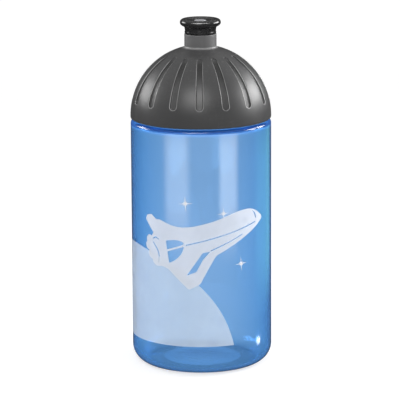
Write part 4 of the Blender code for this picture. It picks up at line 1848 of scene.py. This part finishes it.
@dataclass
class Studio:
    """A pale table, soft lights and the camera."""

    camera_place: tuple[float, float, float] = (0.0, -1.4, 0.382)
    camera_aim: tuple[float, float, float] = (-0.0007, 0.0, 0.0861)
    camera_roll: float = math.radians(-0.33)
    lens: float = 245.0
    world_low: float = 0.05
    world_top: float = 0.66
    wall_glow: float = 0.68
    floor_radius: float = 6.0

    def build(
        self,
        effects: SharedEffects,
        bottle_pieces: list[bpy.types.Object],
        mouth_pieces: list[bpy.types.Object],
    ) -> None:
        """Sets up the table, the world, the lights and the camera.

        Args:
            effects: the shared node groups.
            bottle_pieces: the clear pieces, which have lights of their own.
            mouth_pieces: the black mouthpiece, which has lights of its own.
        """
        self._floor(effects)
        self._world()
        self._soft_lights()
        self._bottle_lights(gathered("clear_pieces", bottle_pieces))
        self._mouth_lights(gathered("mouth_pieces", mouth_pieces))
        self._camera()

    @staticmethod
    def _soft_lights() -> None:
        """Three wide lights for every piece: behind on the left and right, and in front."""
        Softbox("left_back_light", -112.0, 18.0, 0.62, (0.46, 0.28), 9.0, 0.14).build()
        Softbox("right_back_light", 105.0, 19.0, 0.62, (0.66, 0.30), 14.5, 0.14).build()
        Softbox("front_light", -10.0, 35.0, 0.80, (0.66, 0.50), 5.6, 0.14).build()

    @staticmethod
    def _bottle_lights(clear: bpy.types.Collection) -> None:
        """Lights for the clear bottle alone: two warm streaks, a cyan edge and two small glints.

        Args:
            clear: the pieces that these lights reach.
        """
        warm, cyan = (1.0, 0.86, 0.66), (0.32, 1.0, 0.85)
        Softbox("left_streak_light", -39.5, 0.0, 0.43, (0.43, 0.14), 3.2, 0.03, colour=warm).build(clear)
        Softbox("right_streak_light", 44.0, 0.0, 0.43, (0.32, 0.14), 4.3, 0.03, colour=warm).build(clear)
        edge = Softbox("right_edge_light", 120.0, 0.0, 0.30, (0.38, 0.16), 1.0, 0.03, colour=cyan)
        edge.build(clear).visible_transmission = False
        glint = Softbox("glint_light", 82.0, 0.0, 0.0676, (0.0145, 0.0068), 16.0, 0.0048, fade=0.5)
        glint.build(clear)
        Softbox("shoulder_glint_light", -122.0, 32.0, 0.50, (0.05, 0.12), 14.0, 0.12).build(clear)

    @staticmethod
    def _mouth_lights(mouth: bpy.types.Collection) -> None:
        """Lights for the mouthpiece alone: a wide strip for the flange and a low one for the collar."""
        Softbox("mouth_strip_light", 0.0, 40.0, 0.50, (1.4, 0.14), 15.0, 0.175).build(mouth)
        Softbox("mouth_low_light", -8.0, -12.0, 0.30, (0.16, 0.08), 1.0, 0.172).build(mouth)

    def _floor(self, effects: SharedEffects) -> None:
        """A wide round table top.

        Args:
            effects: the shared node groups.
        """
        object_mode()
        bpy.ops.mesh.primitive_circle_add(
            vertices=96, radius=self.floor_radius, fill_type="NGON", location=(0.0, 0.0, 0.0)
        )
        floor = new_primitive("studio_table")
        # the table glows, with a painted pool of light under the bottle
        table = PaleFloor("pale_table", (0.4, 0.4, 0.4), glow=0.70, painted_light_pool=0.5, far_glow=0.16)
        floor.data.materials.append(table.build(effects))
        floor.visible_glossy = False

    def _world(self) -> None:
        """A grey surround that is brightest overhead, with a pale wall seen only through clear plastic."""
        world = bpy.data.worlds.new("grey_surround")
        world.use_nodes = True
        bench = Bench(world.node_tree)
        way = bench.node("ShaderNodeTexCoord").outputs["Generated"]
        height = bench.node("ShaderNodeSeparateXYZ", Vector=way).outputs["Z"]
        ramp = bench.spread(height, (0.28, self.world_low), (0.9, self.world_top))
        through = bench.node("ShaderNodeLightPath").outputs["Is Transmission Ray"]
        wall = bench.spread(height, (0.05, self.wall_glow), (0.7, 0.35 * self.wall_glow))
        seen = bench.math("MAXIMUM", ramp, bench.math("MULTIPLY", through, wall))
        bench.set(world.node_tree.nodes["Background"].inputs["Strength"], seen)
        world.node_tree.nodes["Background"].inputs["Color"].default_value = (1.0, 1.0, 1.0, 1.0)
        bpy.context.scene.world = world
        bpy.context.scene.view_settings.view_transform = "Standard"

    def _camera(self) -> None:
        """A long lens a little above the bottle, turned very slightly."""
        place = Vector(self.camera_place)
        bpy.ops.object.camera_add(location=place)
        camera = bpy.context.view_layer.objects.active
        camera.name = "camera"
        camera.data.lens = self.lens
        camera.data.sensor_width = 36.0
        camera.data.clip_start = 0.01
        look = (Vector(self.camera_aim) - place).to_track_quat("-Z", "Y").to_matrix().to_4x4()
        roll = look @ Matrix.Rotation(self.camera_roll, 4, "Z")
        camera.rotation_mode = "QUATERNION"
        camera.rotation_quaternion = roll.to_quaternion()
        bpy.context.scene.camera = camera


def corners(box: tuple[Vector, Vector]) -> list[list[float]]:
    """A box's two corners as plain lists."""
    return [list(corner) for corner in box]


def main() -> None:
    """Builds the studio and every piece in order."""
    logging.basicConfig(level=logging.INFO, format="%(name)s: %(message)s")
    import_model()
    effects = SharedEffects()
    finishes = Finishes(effects)

    bottle_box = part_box("bottle_body")
    body = BottleBody(radius=bottle_box[1].x, neck_top=bottle_box[1].z)
    bottle = body.build(finishes)
    SpacePrint(skin=body.skin).build(finishes)

    cap_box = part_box("screw_cap")
    DomeCap(radius=cap_box[1].x, edge_z=cap_box[0].z, top_z=cap_box[1].z).build(finishes)
    seal_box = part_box("cap_seal")
    CapSeal(seal_box[1].x, seal_box[0].z, seal_box[1].z).build(finishes)
    insert_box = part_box("spout_insert")
    SpoutInsert(insert_box[1].x, insert_box[0].z, insert_box[1].z).build(finishes)
    mouth_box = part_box("mouthpiece")
    mouthpiece = Mouthpiece(
        collar_bottom_z=cap_box[1].z + 0.3 * MM,
        bottom_z=mouth_box[0].z,
        flange=mouth_box[1].x,
        rim_z=mouth_box[1].z,
    ).build(finishes)
    ring_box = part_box("mouthpiece_o_ring")
    ring_radius = (ring_box[1].z - ring_box[0].z) / 2
    RingSeal(ring_box[1].x - ring_radius, ring_box[0].z + ring_radius, ring_radius).build(finishes)

    Studio().build(effects, [bottle], [mouthpiece])


if __name__ == "__main__":
    main()
